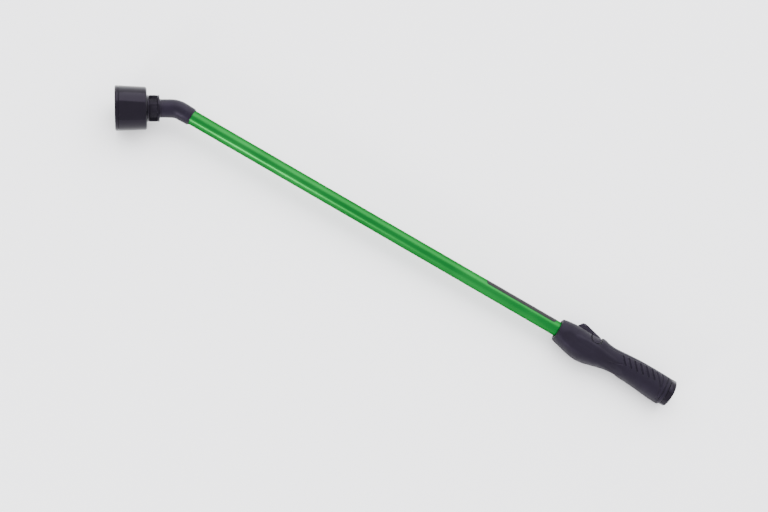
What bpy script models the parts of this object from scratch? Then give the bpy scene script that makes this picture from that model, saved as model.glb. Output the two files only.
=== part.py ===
"""Watering wand with a bent water breaker, a thumb valve and a swivelling hose coupling.

Metres, +Z up. The wand lies on its side: +X runs along the tube from the water breaker
to the handle, +Y is the thumb side, and +Z is square to the plane of the bend.
Everything is drawn from the elbow's mouth on the tube's axis, and one empty then moves
the whole wand so that the middle of its box stands on the origin.
"""
import math

import bmesh
import bpy
from mathutils import Vector

MM = 0.001
GAP = 0.3 * MM  # left between pieces that touch

# Tube and bend
TUBE_RADIUS = 9.525 * MM
TUBE_WALL = 1.2 * MM
TUBE_START = -12.0 * MM
TUBE_END = 551.0 * MM
BEND_ANGLE = math.radians(33.0)
BEND_RADIUS = 24.0 * MM
BEND_CORNER = -20.3 * MM  # where the head's axis meets the tube's

# Water breaker, measured from its face along its own axis
FACE_TO_CORNER = 75.9 * MM
HEAD_RADIUS = 28.35 * MM
HEAD_BACK_RADIUS = 27.0 * MM
HEAD_DEPTH = 39.0 * MM
HEAD_WALL = 2.4 * MM
FACE_RADIUS = 26.0 * MM
FACE_THICKNESS = 3.0 * MM
RING_DEPTH = 4.2 * MM
NECK_RADIUS = 16.7 * MM
NECK_END = 54.5 * MM
NECK_FLOOR = 42.0 * MM  # where the thread socket starts
NECK_RIBS = 20
THREAD_RADIUS = 13.0 * MM  # outside of the 3/4 inch garden hose thread
THREAD_SOCKET_RADIUS = THREAD_RADIUS + GAP
FACE_HOLE_RINGS = 3
FACE_HOLE_PITCH = 7.0 * MM
FACE_HOLE_RADIUS = 1.2 * MM

# Elbow
ELBOW_RADIUS = 11.8 * MM
ELBOW_LIP_RADIUS = 10.9 * MM
ELBOW_MOUTH = 2.6 * MM
ELBOW_BORE_RADIUS = 5.2 * MM
ELBOW_SPIGOT_RADIUS = 8.0 * MM
ELBOW_SPIGOT_END = 14.0 * MM
ELBOW_GROOVES = (3.0 * MM, 8.0 * MM)
ELBOW_GROOVE_LENGTH = 1.8 * MM
ELBOW_GROOVE_DEPTH = 1.4 * MM

# Handle: place along the tube, lowest, highest and half width of the grip
HANDLE_STATIONS = (
    (534.0, -14.6, 14.2, 14.2),
    (541.0, -16.8, 15.4, 15.2),
    (548.0, -18.6, 16.2, 16.0),
    (556.0, -20.8, 16.6, 16.7),
    (564.0, -22.4, 16.2, 17.2),
    (573.0, -23.0, 15.8, 17.4),
    (582.0, -22.0, 16.0, 17.0),
    (592.0, -19.4, 18.7, 16.2),
    (600.0, -17.2, 16.6, 15.5),
    (611.0, -15.1, 15.7, 14.8),
    (624.0, -14.7, 16.6, 14.8),
    (642.0, -15.2, 17.8, 15.6),
    (661.0, -16.9, 17.9, 16.6),
    (680.0, -18.7, 17.5, 17.5),
    (690.0, -18.8, 17.2, 17.6),
)
HANDLE_SQUARENESS = 2.3  # 2 is an ellipse, more is squarer
HANDLE_START = 534.0 * MM
GRIP_END = 684.1 * MM
BAND_END = 689.0 * MM
GRIP_THICKNESS = 2.0 * MM
HANDLE_RING_STEP = 9.0 * MM

# Tube fitting in the handle's mouth
BUSH_RADIUS = 10.9 * MM
BUSH_START = 535.0 * MM
BUSH_END = 543.0 * MM
GRIP_RING_THICKNESS = 0.8 * MM
TUBE_SEAL_SECTION = 1.4 * MM

# Valve
CHAMBER_RADIUS = 7.5 * MM
CHAMBER_START = 552.3 * MM
CHAMBER_END = 592.0 * MM
SEAT_LENGTH = 3.0 * MM
SEAT_BORE_RADIUS = 4.2 * MM
SPOOL_RADIUS = CHAMBER_RADIUS - GAP
SPOOL_NOSE_RADIUS = 5.0 * MM
SPOOL_NOSE_END = 561.8 * MM
SPOOL_END = 586.0 * MM
SPOOL_GROOVE_DEPTH = 1.3 * MM
SPOOL_GROOVES = (562.4 * MM, 576.8 * MM)
SPOOL_GROOVE_LENGTH = 2.0 * MM
SPOOL_BORE_RADIUS = 2.8 * MM
SPOOL_BORE_Y = -3.2 * MM
SEAL_RADIUS = 6.2 * MM
SEAL_THICKNESS = 1.5 * MM
WATERWAY_RADIUS = 5.5 * MM

# Thumb rocker
PIVOT_X = 571.0 * MM
PIVOT_Y = 11.0 * MM
PIN_RADIUS = 1.5 * MM
PIN_HALF_LENGTH = 8.6 * MM
BOSS_HALF_LENGTH = 4.5 * MM  # of the two cheeks that hold the pin
BOSS_HALF_WIDTH = 8.9 * MM
BOSS_TOP = 13.0 * MM
BOSS_FOOT = 8.2 * MM  # clear of the valve chamber
ROCKER_HALF_WIDTH = 6.7 * MM
PADDLE_HALF_WIDTH = 10.3 * MM  # the rear of the rocker, which fills the scoop
PADDLE_START = 575.2 * MM
PADDLE_TAPER = 0.45
WING_START = 575.7 * MM
WING_END = 587.0 * MM
WING_TOP = 13.0 * MM
WING_FOOT = 3.2 * MM  # the paddle's wings wrap down both flanks of the handle
WING_CORNER = 5.4 * MM
WING_OUTER_INSET = 0.2 * MM
WING_INNER_INSET = 2.0 * MM
ROCKER_THROW = math.radians(16.0)
FINGER_ARM = 8.5 * MM
FINGER_TIP_RADIUS = 1.8 * MM
FINGER_HALF_WIDTH = 2.5 * MM
PAD_THICKNESS = 1.0 * MM
WELL_START = 552.3 * MM
WELL_END = 589.6 * MM
WELL_FLOOR = 9.2 * MM
WELL_HALF_WIDTH = ROCKER_HALF_WIDTH + GAP
RECESS_START = 573.6 * MM
RECESS_FLOOR = 9.0 * MM
RECESS_CORNER = 3.5 * MM
SLEEVE_RECESS_FLOOR = 2.4 * MM  # the sleeve is open further down, for the wings
SLEEVE_RECESS_CORNER = 6.6 * MM

# Hose swivel
CORE_END = 678.4 * MM
CORE_END_RADIUS = 13.5 * MM
CORE_STEP = 669.9 * MM
SPIGOT_RADIUS = 8.0 * MM
SPIGOT_END = 686.4 * MM
CIRCLIP_START = 683.3 * MM
CIRCLIP_THICKNESS = 1.0 * MM
SWIVEL_WEB_END = 682.9 * MM
SWIVEL_BARREL_RADIUS = 14.8 * MM
SWIVEL_RADIUS = 17.6 * MM
SWIVEL_RIB_DEPTH = 0.4 * MM
SWIVEL_RIBS = 5
SWIVEL_FIRST_RIB = math.radians(98.4)  # from the thumb side, towards +Z
SWIVEL_START = 689.4 * MM
SWIVEL_END = 697.4 * MM
HOSE_SOCKET_RADIUS = 13.3 * MM
WASHER_THICKNESS = 3.0 * MM
SCREEN_RADIUS = 7.6 * MM

# Label on the thumb side of the tube
LABEL_START = 426.0 * MM
LABEL_END = 527.0 * MM
LABEL_HALF_ANGLE = math.radians(79.0)
LABEL_THICKNESS = 0.25 * MM

STEPS = 40  # flats round a large turned piece
FINE_STEPS = 24  # flats round a small one
HANDLE_STEPS = 28

HEAD_DIRECTION = Vector((math.cos(BEND_ANGLE), math.sin(BEND_ANGLE), 0.0))
FACE_CENTRE = Vector((BEND_CORNER, 0.0, 0.0)) - FACE_TO_CORNER * HEAD_DIRECTION
TUBE_AXIS = (Vector((0.0, 0.0, 0.0)), Vector((1.0, 0.0, 0.0)))
HEAD_AXIS = (FACE_CENTRE, HEAD_DIRECTION)


# Blender helpers

def clear_scene():
    for old in list(bpy.data.objects):
        bpy.data.objects.remove(old, do_unlink=True)


def make_material(name, colour, roughness, metallic=0.0):
    made = bpy.data.materials.new(name)
    made.use_nodes = True
    shader = made.node_tree.nodes["Principled BSDF"]
    shader.inputs["Base Color"].default_value = (*colour, 1.0)
    shader.inputs["Roughness"].default_value = roughness
    shader.inputs["Metallic"].default_value = metallic
    return made


def make_object(name, shape, finish, parent, pivot=Vector((0.0, 0.0, 0.0))):
    """Turn a bmesh into a named object whose origin is at its pivot."""
    bmesh.ops.recalc_face_normals(shape, faces=shape.faces)
    bmesh.ops.translate(shape, verts=shape.verts, vec=-pivot)
    mesh = bpy.data.meshes.new(name)
    shape.to_mesh(mesh)
    shape.free()
    mesh.shade_smooth()
    mesh.set_sharp_from_angle(angle=math.radians(35.0))
    mesh.materials.append(finish)
    made = bpy.data.objects.new(name, mesh)
    bpy.context.collection.objects.link(made)
    made.parent = parent
    made.location = pivot
    return made


def boolean(target, name, shape, operation, parent):
    """Cut a helper shape out of an object, or join it on."""
    boolean_with(target, make_object(name, shape, target.data.materials[0], parent), operation)


def boolean_with(target, helper, operation):
    helper.hide_render = True
    helper.display_type = "WIRE"
    modifier = target.modifiers.new(helper.name, "BOOLEAN")
    modifier.operation = operation
    modifier.solver = "EXACT"
    modifier.object = helper


def make_frame(name, location, parent=None):
    """An empty that other objects hang from."""
    made = bpy.data.objects.new(name, None)
    made.location = location
    made.parent = parent
    bpy.context.collection.objects.link(made)
    return made


# Shapes

def circle(axis, along, radius, steps, centre_y=0.0):
    """Points of a circle square to an axis, starting on the thumb side."""
    origin, direction = axis
    sideways = Vector((-direction.y, direction.x, 0.0))
    centre = origin + along * direction + centre_y * sideways
    points = []
    for step in range(steps):
        angle = 2.0 * math.pi * step / steps
        points.append(centre + radius * (math.cos(angle) * sideways
                                         + math.sin(angle) * Vector((0.0, 0.0, 1.0))))
    return points


def skin(shape, rings, closed):
    """Join a row of rings: into a loop when closed, else with a flat cap at each end."""
    rows = [[shape.verts.new(point) for point in ring] for ring in rings]
    count = len(rows[0])
    pairs = list(zip(rows, rows[1:]))
    if closed:
        pairs.append((rows[-1], rows[0]))
    for here, there in pairs:
        for step in range(count):
            after = (step + 1) % count
            shape.faces.new((here[step], here[after], there[after], there[step]))
    if not closed:
        shape.faces.new(rows[0])
        shape.faces.new(rows[-1])


def turned(axis, profile, steps=STEPS, closed=True):
    """A turned piece: its profile is a list of (place along the axis, radius)."""
    shape = bmesh.new()
    skin(shape, [circle(axis, along, radius, steps) for along, radius in profile], closed)
    return shape


def rod(axis, start, end, radius, steps=FINE_STEPS, centre_y=0.0):
    shape = bmesh.new()
    skin(shape, [circle(axis, along, radius, steps, centre_y) for along in (start, end)], False)
    return shape


def washer(axis, start, end, inner, outer, steps=FINE_STEPS):
    return turned(axis, ((start, inner), (start, outer), (end, outer), (end, inner)), steps)


def o_ring(axis, along, inner, outer, steps=FINE_STEPS):
    """An O-ring of six-sided section."""
    middle = (inner + outer) / 2.0
    section = (outer - inner) / 2.0
    rings = []
    for corner in range(6):
        angle = 2.0 * math.pi * (corner + 0.5) / 6
        rings.append(circle(axis, along + section * math.sin(angle),
                            middle + section * math.cos(angle), steps))
    shape = bmesh.new()
    skin(shape, rings, True)
    return shape


def extruded(outline, half_width, taper=0.0, taper_from=0.0):
    """A side view outline in X and Y, drawn out to both sides along Z and narrower towards +Y."""
    shape = bmesh.new()
    sides = []
    for sign in (-1.0, 1.0):
        sides.append([Vector((x, y, sign * (half_width - taper * max(0.0, y - taper_from))))
                      for x, y in outline])
    skin(shape, sides, False)
    return shape


def box(low, high):
    x0, y0, z0 = low
    x1, y1, z1 = high
    shape = bmesh.new()
    skin(shape, [[Vector(p) for p in ((x, y0, z0), (x, y1, z0), (x, y1, z1), (x, y0, z1))]
                 for x in (x0, x1)], False)
    return shape


def arc(centre, radius, start, end, count):
    """Points of an arc in X and Y, angles in degrees."""
    points = []
    for step in range(count):
        angle = math.radians(start + (end - start) * step / (count - 1))
        points.append((centre[0] + radius * math.cos(angle), centre[1] + radius * math.sin(angle)))
    return points


def perforated_disc(axis, start, thickness, radius, holes, hole_radius, hole_steps=6):
    """A flat disc with round holes at the given (across, up) places."""
    origin, direction = axis
    sideways = Vector((-direction.y, direction.x, 0.0))
    shape = bmesh.new()
    edges = []
    outlines = [circle(axis, start, radius, STEPS)]
    for across, up in holes:
        centre = origin + start * direction + across * sideways + up * Vector((0.0, 0.0, 1.0))
        outlines.append([centre + (point - origin) for point in circle(axis, 0.0, hole_radius, hole_steps)])
    for outline in outlines:
        verts = [shape.verts.new(point) for point in outline]
        for first, second in zip(verts, verts[1:] + verts[:1]):
            edges.append(shape.edges.new((first, second)))
    bmesh.ops.triangle_fill(shape, use_beauty=True, use_dissolve=False, edges=edges)
    moved = bmesh.ops.extrude_face_region(shape, geom=shape.faces[:])["geom"]
    top = [item for item in moved if isinstance(item, bmesh.types.BMVert)]
    bmesh.ops.translate(shape, verts=top, vec=thickness * direction)
    return shape


def hole_rings(rings, pitch):
    """Places of one hole in the middle and six more in each ring outwards."""
    places = [(0.0, 0.0)]
    for ring in range(1, rings + 1):
        for step in range(6 * ring):
            angle = 2.0 * math.pi * (step + 0.5 * (ring % 2)) / (6 * ring)
            places.append((ring * pitch * math.cos(angle), ring * pitch * math.sin(angle)))
    return places


def handle_size(along):
    """Lowest, highest and half width of the grip at a place, on smooth curves."""
    rows = [tuple(value * MM for value in row) for row in HANDLE_STATIONS]
    place = min(max(along, rows[0][0]), rows[-1][0])
    index = 0
    while index < len(rows) - 2 and place > rows[index + 1][0]:
        index += 1
    before = rows[max(index - 1, 0)]
    here, there = rows[index], rows[index + 1]
    after = rows[min(index + 2, len(rows) - 1)]
    span = there[0] - here[0]
    share = (place - here[0]) / span
    sizes = []
    for column in (1, 2, 3):
        slope_here = (there[column] - before[column]) / (there[0] - before[0]) * span
        slope_there = (after[column] - here[column]) / (after[0] - here[0]) * span
        sizes.append((2 * share ** 3 - 3 * share ** 2 + 1) * here[column]
                     + (share ** 3 - 2 * share ** 2 + share) * slope_here
                     + (3 * share ** 2 - 2 * share ** 3) * there[column]
                     + (share ** 3 - share ** 2) * slope_there)
    return sizes


def handle_ring(along, inset):
    """The rounded section of the grip at a place, drawn in by the inset."""
    low, high, half_width = handle_size(along)
    middle = (low + high) / 2.0
    half_height = (high - low) / 2.0 - inset
    power = 2.0 / HANDLE_SQUARENESS
    points = []
    for step in range(HANDLE_STEPS):
        angle = 2.0 * math.pi * step / HANDLE_STEPS
        across, up = math.cos(angle), math.sin(angle)
        points.append(Vector((
            along,
            middle + half_height * math.copysign(abs(across) ** power, across),
            (half_width - inset) * math.copysign(abs(up) ** power, up))))
    return points


def handle_rings(start, end, inset):
    """Sections from start to end; those between stand at the same places for every piece."""
    places = [start]
    along = HANDLE_START
    while along < end - 1.0 * MM:
        if along > start + 1.0 * MM:
            places.append(along)
        along += HANDLE_RING_STEP
    places.append(end)
    return [handle_ring(place, inset) for place in places]


# Water breaker

FACE_START = 1.6 * MM
FACE_SEAT = FACE_START + FACE_THICKNESS


def breaker_shell(finish, parent):
    """The cup and its ribbed neck, one moulding."""
    front = RING_DEPTH + GAP
    seat = FACE_SEAT + GAP
    profile = [
        (front, FACE_RADIUS + GAP), (front, HEAD_RADIUS),
        (HEAD_DEPTH - 2.5 * MM, HEAD_BACK_RADIUS), (HEAD_DEPTH - 0.7 * MM, HEAD_BACK_RADIUS - 0.8 * MM),
        (HEAD_DEPTH, HEAD_BACK_RADIUS - 2.6 * MM), (HEAD_DEPTH + 0.4 * MM, NECK_RADIUS),
        (NECK_END - 0.8 * MM, NECK_RADIUS), (NECK_END, NECK_RADIUS - 0.8 * MM),
        (NECK_END, THREAD_SOCKET_RADIUS), (NECK_FLOOR, THREAD_SOCKET_RADIUS),
        (NECK_FLOOR, 9.0 * MM), (HEAD_DEPTH - HEAD_WALL - 1.0 * MM, 9.0 * MM),
        (HEAD_DEPTH - HEAD_WALL - 1.0 * MM, HEAD_BACK_RADIUS - HEAD_WALL),
        (seat, FACE_RADIUS - 1.0 * MM), (seat, FACE_RADIUS + GAP),
    ]
    shape = bmesh.new()
    steps = 3 * NECK_RIBS
    rings = []
    for along, radius in profile:
        ring = circle(HEAD_AXIS, along, radius, steps)
        if radius == NECK_RADIUS:
            valley = circle(HEAD_AXIS, along, radius - 0.7 * MM, steps)
            ring = [valley[step] if step % 3 == 2 else ring[step] for step in range(steps)]
        rings.append(ring)
    skin(shape, rings, True)
    make_object("breaker_shell", shape, finish, parent)


def water_breaker(plastic, steel, rubber, parent):
    breaker_shell(plastic, parent)
    lip = FACE_RADIUS - 1.5 * MM
    ring = turned(HEAD_AXIS, (
        (0.0, lip), (0.0, HEAD_RADIUS - 0.8 * MM), (0.8 * MM, HEAD_RADIUS),
        (RING_DEPTH, HEAD_RADIUS), (RING_DEPTH, FACE_RADIUS + GAP),
        (FACE_START - GAP, FACE_RADIUS + GAP), (FACE_START - GAP, lip)))
    make_object("face_ring", ring, plastic, parent)
    face = perforated_disc(HEAD_AXIS, FACE_START, FACE_THICKNESS, FACE_RADIUS,
                           hole_rings(FACE_HOLE_RINGS, FACE_HOLE_PITCH), FACE_HOLE_RADIUS)
    make_object("breaker_face", face, plastic, parent)
    diffuser = perforated_disc(HEAD_AXIS, 27.0 * MM, 1.2 * MM, 23.6 * MM,
                               hole_rings(1, 13.0 * MM), 2.5 * MM, 10)
    make_object("diffuser_disc", diffuser, steel, parent)
    seal = washer(HEAD_AXIS, NECK_FLOOR + GAP, NECK_FLOOR + 2.8 * MM, 8.0 * MM, THREAD_RADIUS)
    make_object("head_washer", seal, rubber, parent)


# Elbow and tube

def elbow_rings():
    """Rings from the thread end round the outside, into the mouth and back down the bore."""
    tangent = BEND_RADIUS * math.tan(BEND_ANGLE / 2.0)
    arc_start = FACE_TO_CORNER - tangent
    arc_end = BEND_CORNER + tangent
    thread_start = NECK_FLOOR + 2.8 * MM + GAP
    centre = Vector((arc_end, -BEND_RADIUS, 0.0))

    def bent(radius, backwards):
        rings = []
        count = 6
        for step in range(1, count - 1):
            share = step / (count - 1)
            turn = BEND_ANGLE * (share if backwards else 1.0 - share)
            direction = Vector((math.cos(turn), math.sin(turn), 0.0))
            origin = centre + BEND_RADIUS * Vector((-math.sin(turn), math.cos(turn), 0.0))
            rings.append(circle((origin, direction), 0.0, radius, FINE_STEPS))
        return rings

    def on_head(along, radius):
        return circle(HEAD_AXIS, along, radius, FINE_STEPS)

    def on_tube(along, radius):
        return circle(TUBE_AXIS, along, radius, FINE_STEPS)

    socket_end = TUBE_START - GAP
    rings = [on_head(thread_start, THREAD_RADIUS), on_head(NECK_END - 1.2 * MM, THREAD_RADIUS),
             on_head(NECK_END - 1.2 * MM, ELBOW_RADIUS), on_head(arc_start, ELBOW_RADIUS)]
    rings += bent(ELBOW_RADIUS, False)
    rings += [on_tube(arc_end, ELBOW_RADIUS), on_tube(ELBOW_MOUTH - 2.2 * MM, ELBOW_LIP_RADIUS),
              on_tube(ELBOW_MOUTH, ELBOW_LIP_RADIUS), on_tube(ELBOW_MOUTH, TUBE_RADIUS + GAP),
              on_tube(socket_end, TUBE_RADIUS + GAP), on_tube(socket_end, ELBOW_SPIGOT_RADIUS)]
    groove_floor = ELBOW_SPIGOT_RADIUS - ELBOW_GROOVE_DEPTH
    for groove in ELBOW_GROOVES:
        end = groove + ELBOW_GROOVE_LENGTH
        rings += [on_tube(groove, ELBOW_SPIGOT_RADIUS), on_tube(groove, groove_floor),
                  on_tube(end, groove_floor), on_tube(end, ELBOW_SPIGOT_RADIUS)]
    rings += [on_tube(ELBOW_SPIGOT_END, ELBOW_SPIGOT_RADIUS), on_tube(ELBOW_SPIGOT_END, ELBOW_BORE_RADIUS),
              on_tube(arc_end, ELBOW_BORE_RADIUS)]
    rings += bent(ELBOW_BORE_RADIUS, True)
    rings += [on_head(arc_start, ELBOW_BORE_RADIUS), on_head(thread_start, ELBOW_BORE_RADIUS)]
    return rings


def elbow_and_tube(plastic, green, film, rubber, parent):
    shape = bmesh.new()
    skin(shape, elbow_rings(), True)
    make_object("elbow", shape, plastic, parent)
    for number, groove in enumerate(ELBOW_GROOVES, 1):
        seal = o_ring(TUBE_AXIS, groove + ELBOW_GROOVE_LENGTH / 2.0,
                      ELBOW_SPIGOT_RADIUS - ELBOW_GROOVE_DEPTH + GAP, ELBOW_SPIGOT_RADIUS)
        make_object(f"elbow_o_ring_{number}", seal, rubber, parent)
    tube = washer(TUBE_AXIS, TUBE_START, TUBE_END, TUBE_RADIUS - TUBE_WALL, TUBE_RADIUS, STEPS)
    make_object("tube", tube, green, parent)
    make_object("tube_label", label_shape(), film, parent)


def label_shape():
    """A thin film wrapped over the thumb side of the tube."""
    inner = TUBE_RADIUS + GAP
    outline = []
    for radius, sign in ((inner + LABEL_THICKNESS, 1), (inner, -1)):
        for step in range(13):
            angle = sign * LABEL_HALF_ANGLE * (2.0 * step / 12 - 1.0)
            outline.append((radius * math.cos(angle), radius * math.sin(angle)))
    shape = bmesh.new()
    skin(shape, [[Vector((x, y, z)) for y, z in outline] for x in (LABEL_START, LABEL_END)], False)
    return shape


# Handle

def well_cutter():
    return box((WELL_START, WELL_FLOOR, -WELL_HALF_WIDTH), (WELL_END, 40.0 * MM, WELL_HALF_WIDTH))


def boss_block(clearance, top):
    """The block round the rocker's pin, out of which the well cuts two cheeks."""
    reach = BOSS_HALF_LENGTH + clearance
    across = BOSS_HALF_WIDTH + clearance
    return box((PIVOT_X - reach, BOSS_FOOT - clearance, -across), (PIVOT_X + reach, top, across))


def u_outline(start, end, floor, corner, top):
    """A side view that is open upwards and has round lower corners."""
    outline = [(start, top)]
    outline += arc((start + corner, floor + corner), corner, 180.0, 270.0, 6)
    outline += arc((end - corner, floor + corner), corner, 270.0, 360.0, 6)
    outline += [(end, top)]
    return outline


def recess_cutter(floor, corner):
    """The U-shaped scoop across the handle behind the rocker's pin."""
    return extruded(u_outline(RECESS_START, WELL_END, floor, corner, 40.0 * MM), 30.0 * MM)


def handle_core(finish, parent):
    """The hard moulding that holds the tube, the valve and the swivel's spigot."""
    start = HANDLE_START + 1.0 * MM
    inset = GRIP_THICKNESS + 2 * GAP
    seal_end = BUSH_END + GAP + GRIP_RING_THICKNESS + 2 * (GAP + TUBE_SEAL_SECTION)
    groove = SPIGOT_RADIUS - 1.0 * MM
    clip_end = CIRCLIP_START + CIRCLIP_THICKNESS + GAP
    rings = handle_rings(start, CORE_STEP, inset)
    for along, radius in (
            (CORE_STEP, CORE_END_RADIUS), (CORE_END, CORE_END_RADIUS), (CORE_END, SPIGOT_RADIUS),
            (CIRCLIP_START - GAP, SPIGOT_RADIUS), (CIRCLIP_START - GAP, groove), (clip_end, groove),
            (clip_end, SPIGOT_RADIUS), (SPIGOT_END, SPIGOT_RADIUS), (SPIGOT_END, WATERWAY_RADIUS),
            (CHAMBER_END, WATERWAY_RADIUS), (CHAMBER_END, CHAMBER_RADIUS),
            (CHAMBER_START, CHAMBER_RADIUS), (CHAMBER_START, CHAMBER_RADIUS - 1.0 * MM),
            (TUBE_END + GAP, CHAMBER_RADIUS - 1.0 * MM), (TUBE_END + GAP, TUBE_RADIUS + GAP),
            (seal_end, TUBE_RADIUS + GAP), (seal_end, BUSH_RADIUS + GAP), (start, BUSH_RADIUS + GAP)):
        rings.append(circle(TUBE_AXIS, along, radius, HANDLE_STEPS))
    shape = bmesh.new()
    skin(shape, rings, True)
    core = make_object("handle_core", shape, finish, parent)
    boolean(core, "core_boss", boss_block(0.0, BOSS_TOP), "UNION", parent)
    boolean(core, "core_well_cutter", well_cutter(), "DIFFERENCE", parent)
    boolean(core, "core_recess_cutter", recess_cutter(RECESS_FLOOR, RECESS_CORNER), "DIFFERENCE",
            parent)
    slot = box((PIVOT_X - 3.0 * MM, 4.0 * MM, -FINGER_HALF_WIDTH - GAP),
               (PIVOT_X + 3.0 * MM, WELL_FLOOR + 1.0 * MM, FINGER_HALF_WIDTH + GAP))
    boolean(core, "core_slot_cutter", slot, "DIFFERENCE", parent)
    pin_axis_hole = pin_rod(PIN_RADIUS + GAP, PIN_HALF_LENGTH + GAP)
    boolean(core, "core_pin_cutter", pin_axis_hole, "DIFFERENCE", parent)


def grip_sleeve(finish, parent):
    """The soft overmoulding: rounded at the mouth, open at the back for the swivel."""
    lip = 1.6 * MM
    inner_start = HANDLE_START + 1.0 * MM - GAP
    rings = [handle_ring(HANDLE_START, lip), handle_ring(HANDLE_START + lip, 0.0)]
    rings += handle_rings(HANDLE_START + lip + 4.0 * MM, GRIP_END, 0.0)
    sleeve_bore = 15.9 * MM
    rings += [circle(TUBE_AXIS, GRIP_END, sleeve_bore, HANDLE_STEPS),
              circle(TUBE_AXIS, CORE_STEP + GAP, sleeve_bore, HANDLE_STEPS)]
    rings += list(reversed(handle_rings(inner_start, CORE_STEP + GAP, GRIP_THICKNESS)))
    rings += [circle(TUBE_AXIS, inner_start, BUSH_RADIUS + GAP, HANDLE_STEPS),
              circle(TUBE_AXIS, HANDLE_START, BUSH_RADIUS + GAP, HANDLE_STEPS)]
    shape = bmesh.new()
    skin(shape, rings, True)
    sleeve = make_object("grip_sleeve", shape, finish, parent)
    boolean(sleeve, "sleeve_boss_cutter", boss_block(GAP, 40.0 * MM), "DIFFERENCE", parent)
    boolean(sleeve, "sleeve_well_cutter", well_cutter(), "DIFFERENCE", parent)
    boolean(sleeve, "sleeve_recess_cutter", recess_cutter(SLEEVE_RECESS_FLOOR, SLEEVE_RECESS_CORNER),
            "DIFFERENCE", parent)


def end_cap(finish, parent):
    """The hard band that closes the grip and shields the swivel's barrel."""
    hidden, bore = 15.6 * MM, SWIVEL_BARREL_RADIUS + GAP
    rings = [circle(TUBE_AXIS, CORE_STEP + 2 * GAP, hidden, HANDLE_STEPS),
             circle(TUBE_AXIS, GRIP_END + GAP, hidden, HANDLE_STEPS),
             handle_ring(GRIP_END + GAP, 0.0), handle_ring(BAND_END - 0.8 * MM, 0.0),
             handle_ring(BAND_END, 0.8 * MM)]
    for along, radius in ((BAND_END, bore), (CORE_END + GAP, bore),
                          (CORE_END + GAP, CORE_END_RADIUS + GAP),
                          (CORE_STEP + 2 * GAP, CORE_END_RADIUS + GAP)):
        rings.append(circle(TUBE_AXIS, along, radius, HANDLE_STEPS))
    shape = bmesh.new()
    skin(shape, rings, True)
    make_object("end_cap", shape, finish, parent)


def tube_fitting(plastic, steel, rubber, parent):
    """What holds and seals the tube in the handle's mouth."""
    inner = TUBE_RADIUS + GAP
    make_object("tube_bush", washer(TUBE_AXIS, BUSH_START, BUSH_END, inner, BUSH_RADIUS),
                plastic, parent)
    start = BUSH_END + GAP
    ring = washer(TUBE_AXIS, start, start + GRIP_RING_THICKNESS, inner, BUSH_RADIUS)
    make_object("tube_grip_ring", ring, steel, parent)
    first = start + GRIP_RING_THICKNESS + GAP + TUBE_SEAL_SECTION / 2.0
    for number in range(2):
        along = first + number * (TUBE_SEAL_SECTION + GAP)
        make_object(f"tube_o_ring_{number + 1}", o_ring(TUBE_AXIS, along, inner, BUSH_RADIUS),
                    rubber, parent)


# Valve

def valve(plastic, brass, rubber, parent, spool_frame):
    seat_start = CHAMBER_START + GAP
    seat_end = seat_start + SEAT_LENGTH
    seat = turned(TUBE_AXIS, (
        (seat_start, SEAT_BORE_RADIUS), (seat_start, SPOOL_RADIUS), (seat_end - 1.0 * MM, SPOOL_RADIUS),
        (seat_end - 1.0 * MM, SEAT_BORE_RADIUS + 1.2 * MM), (seat_end, SEAT_BORE_RADIUS + 1.2 * MM),
        (seat_end, SEAT_BORE_RADIUS)), FINE_STEPS)
    make_object("valve_seat", seat, brass, parent)

    pivot = Vector((seat_end, 0.0, 0.0))
    seal_start = seat_end + GAP
    seal = rod(TUBE_AXIS, seal_start, seal_start + SEAL_THICKNESS, SEAL_RADIUS)
    make_moving("seat_seal", seal, rubber, spool_frame, pivot)

    floor = SPOOL_RADIUS - SPOOL_GROOVE_DEPTH
    profile = [(seal_start + SEAL_THICKNESS + GAP, SPOOL_NOSE_RADIUS), (SPOOL_NOSE_END, SPOOL_NOSE_RADIUS),
               (SPOOL_NOSE_END, SPOOL_RADIUS)]
    for groove in SPOOL_GROOVES:
        end = groove + SPOOL_GROOVE_LENGTH
        profile += [(groove, SPOOL_RADIUS), (groove, floor), (end, floor), (end, SPOOL_RADIUS)]
    profile.append((SPOOL_END, SPOOL_RADIUS))
    spool = make_moving("valve_spool", turned(TUBE_AXIS, profile, FINE_STEPS, closed=False),
                        plastic, spool_frame, pivot)
    tip_x = PIVOT_X - FINGER_ARM * math.sin(ROCKER_THROW / 2.0)
    tip_y = PIVOT_Y - FINGER_ARM * math.cos(ROCKER_THROW / 2.0)
    reach = FINGER_TIP_RADIUS + GAP
    pocket = box((tip_x - reach, tip_y - reach - 0.1 * MM, -FINGER_HALF_WIDTH - GAP),
                 (tip_x + reach, 12.0 * MM, FINGER_HALF_WIDTH + GAP))
    boolean(spool, "spool_pocket_cutter", pocket, "DIFFERENCE", parent)
    bore = rod(TUBE_AXIS, 559.6 * MM, SPOOL_END + 1.0 * MM, SPOOL_BORE_RADIUS, 16, SPOOL_BORE_Y)
    boolean(spool, "spool_bore_cutter", bore, "DIFFERENCE", parent)

    for number, groove in enumerate(SPOOL_GROOVES, 1):
        ring = o_ring(TUBE_AXIS, groove + SPOOL_GROOVE_LENGTH / 2.0, floor + GAP, SPOOL_RADIUS)
        make_moving(f"spool_o_ring_{number}", ring, rubber, spool_frame, pivot)


def make_moving(name, shape, finish, frame, pivot):
    """An object under its own moving frame, which stands at the pivot."""
    bmesh.ops.translate(shape, verts=shape.verts, vec=-pivot)
    return make_object(name, shape, finish, frame)


# Thumb rocker

def pin_rod(radius, half_length):
    shape = bmesh.new()
    rings = []
    for z in (-half_length, half_length):
        rings.append([Vector((x, y, z)) for x, y in arc((PIVOT_X, PIVOT_Y), radius, 0.0, 345.0, 24)])
    skin(shape, rings, False)
    return shape


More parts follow.
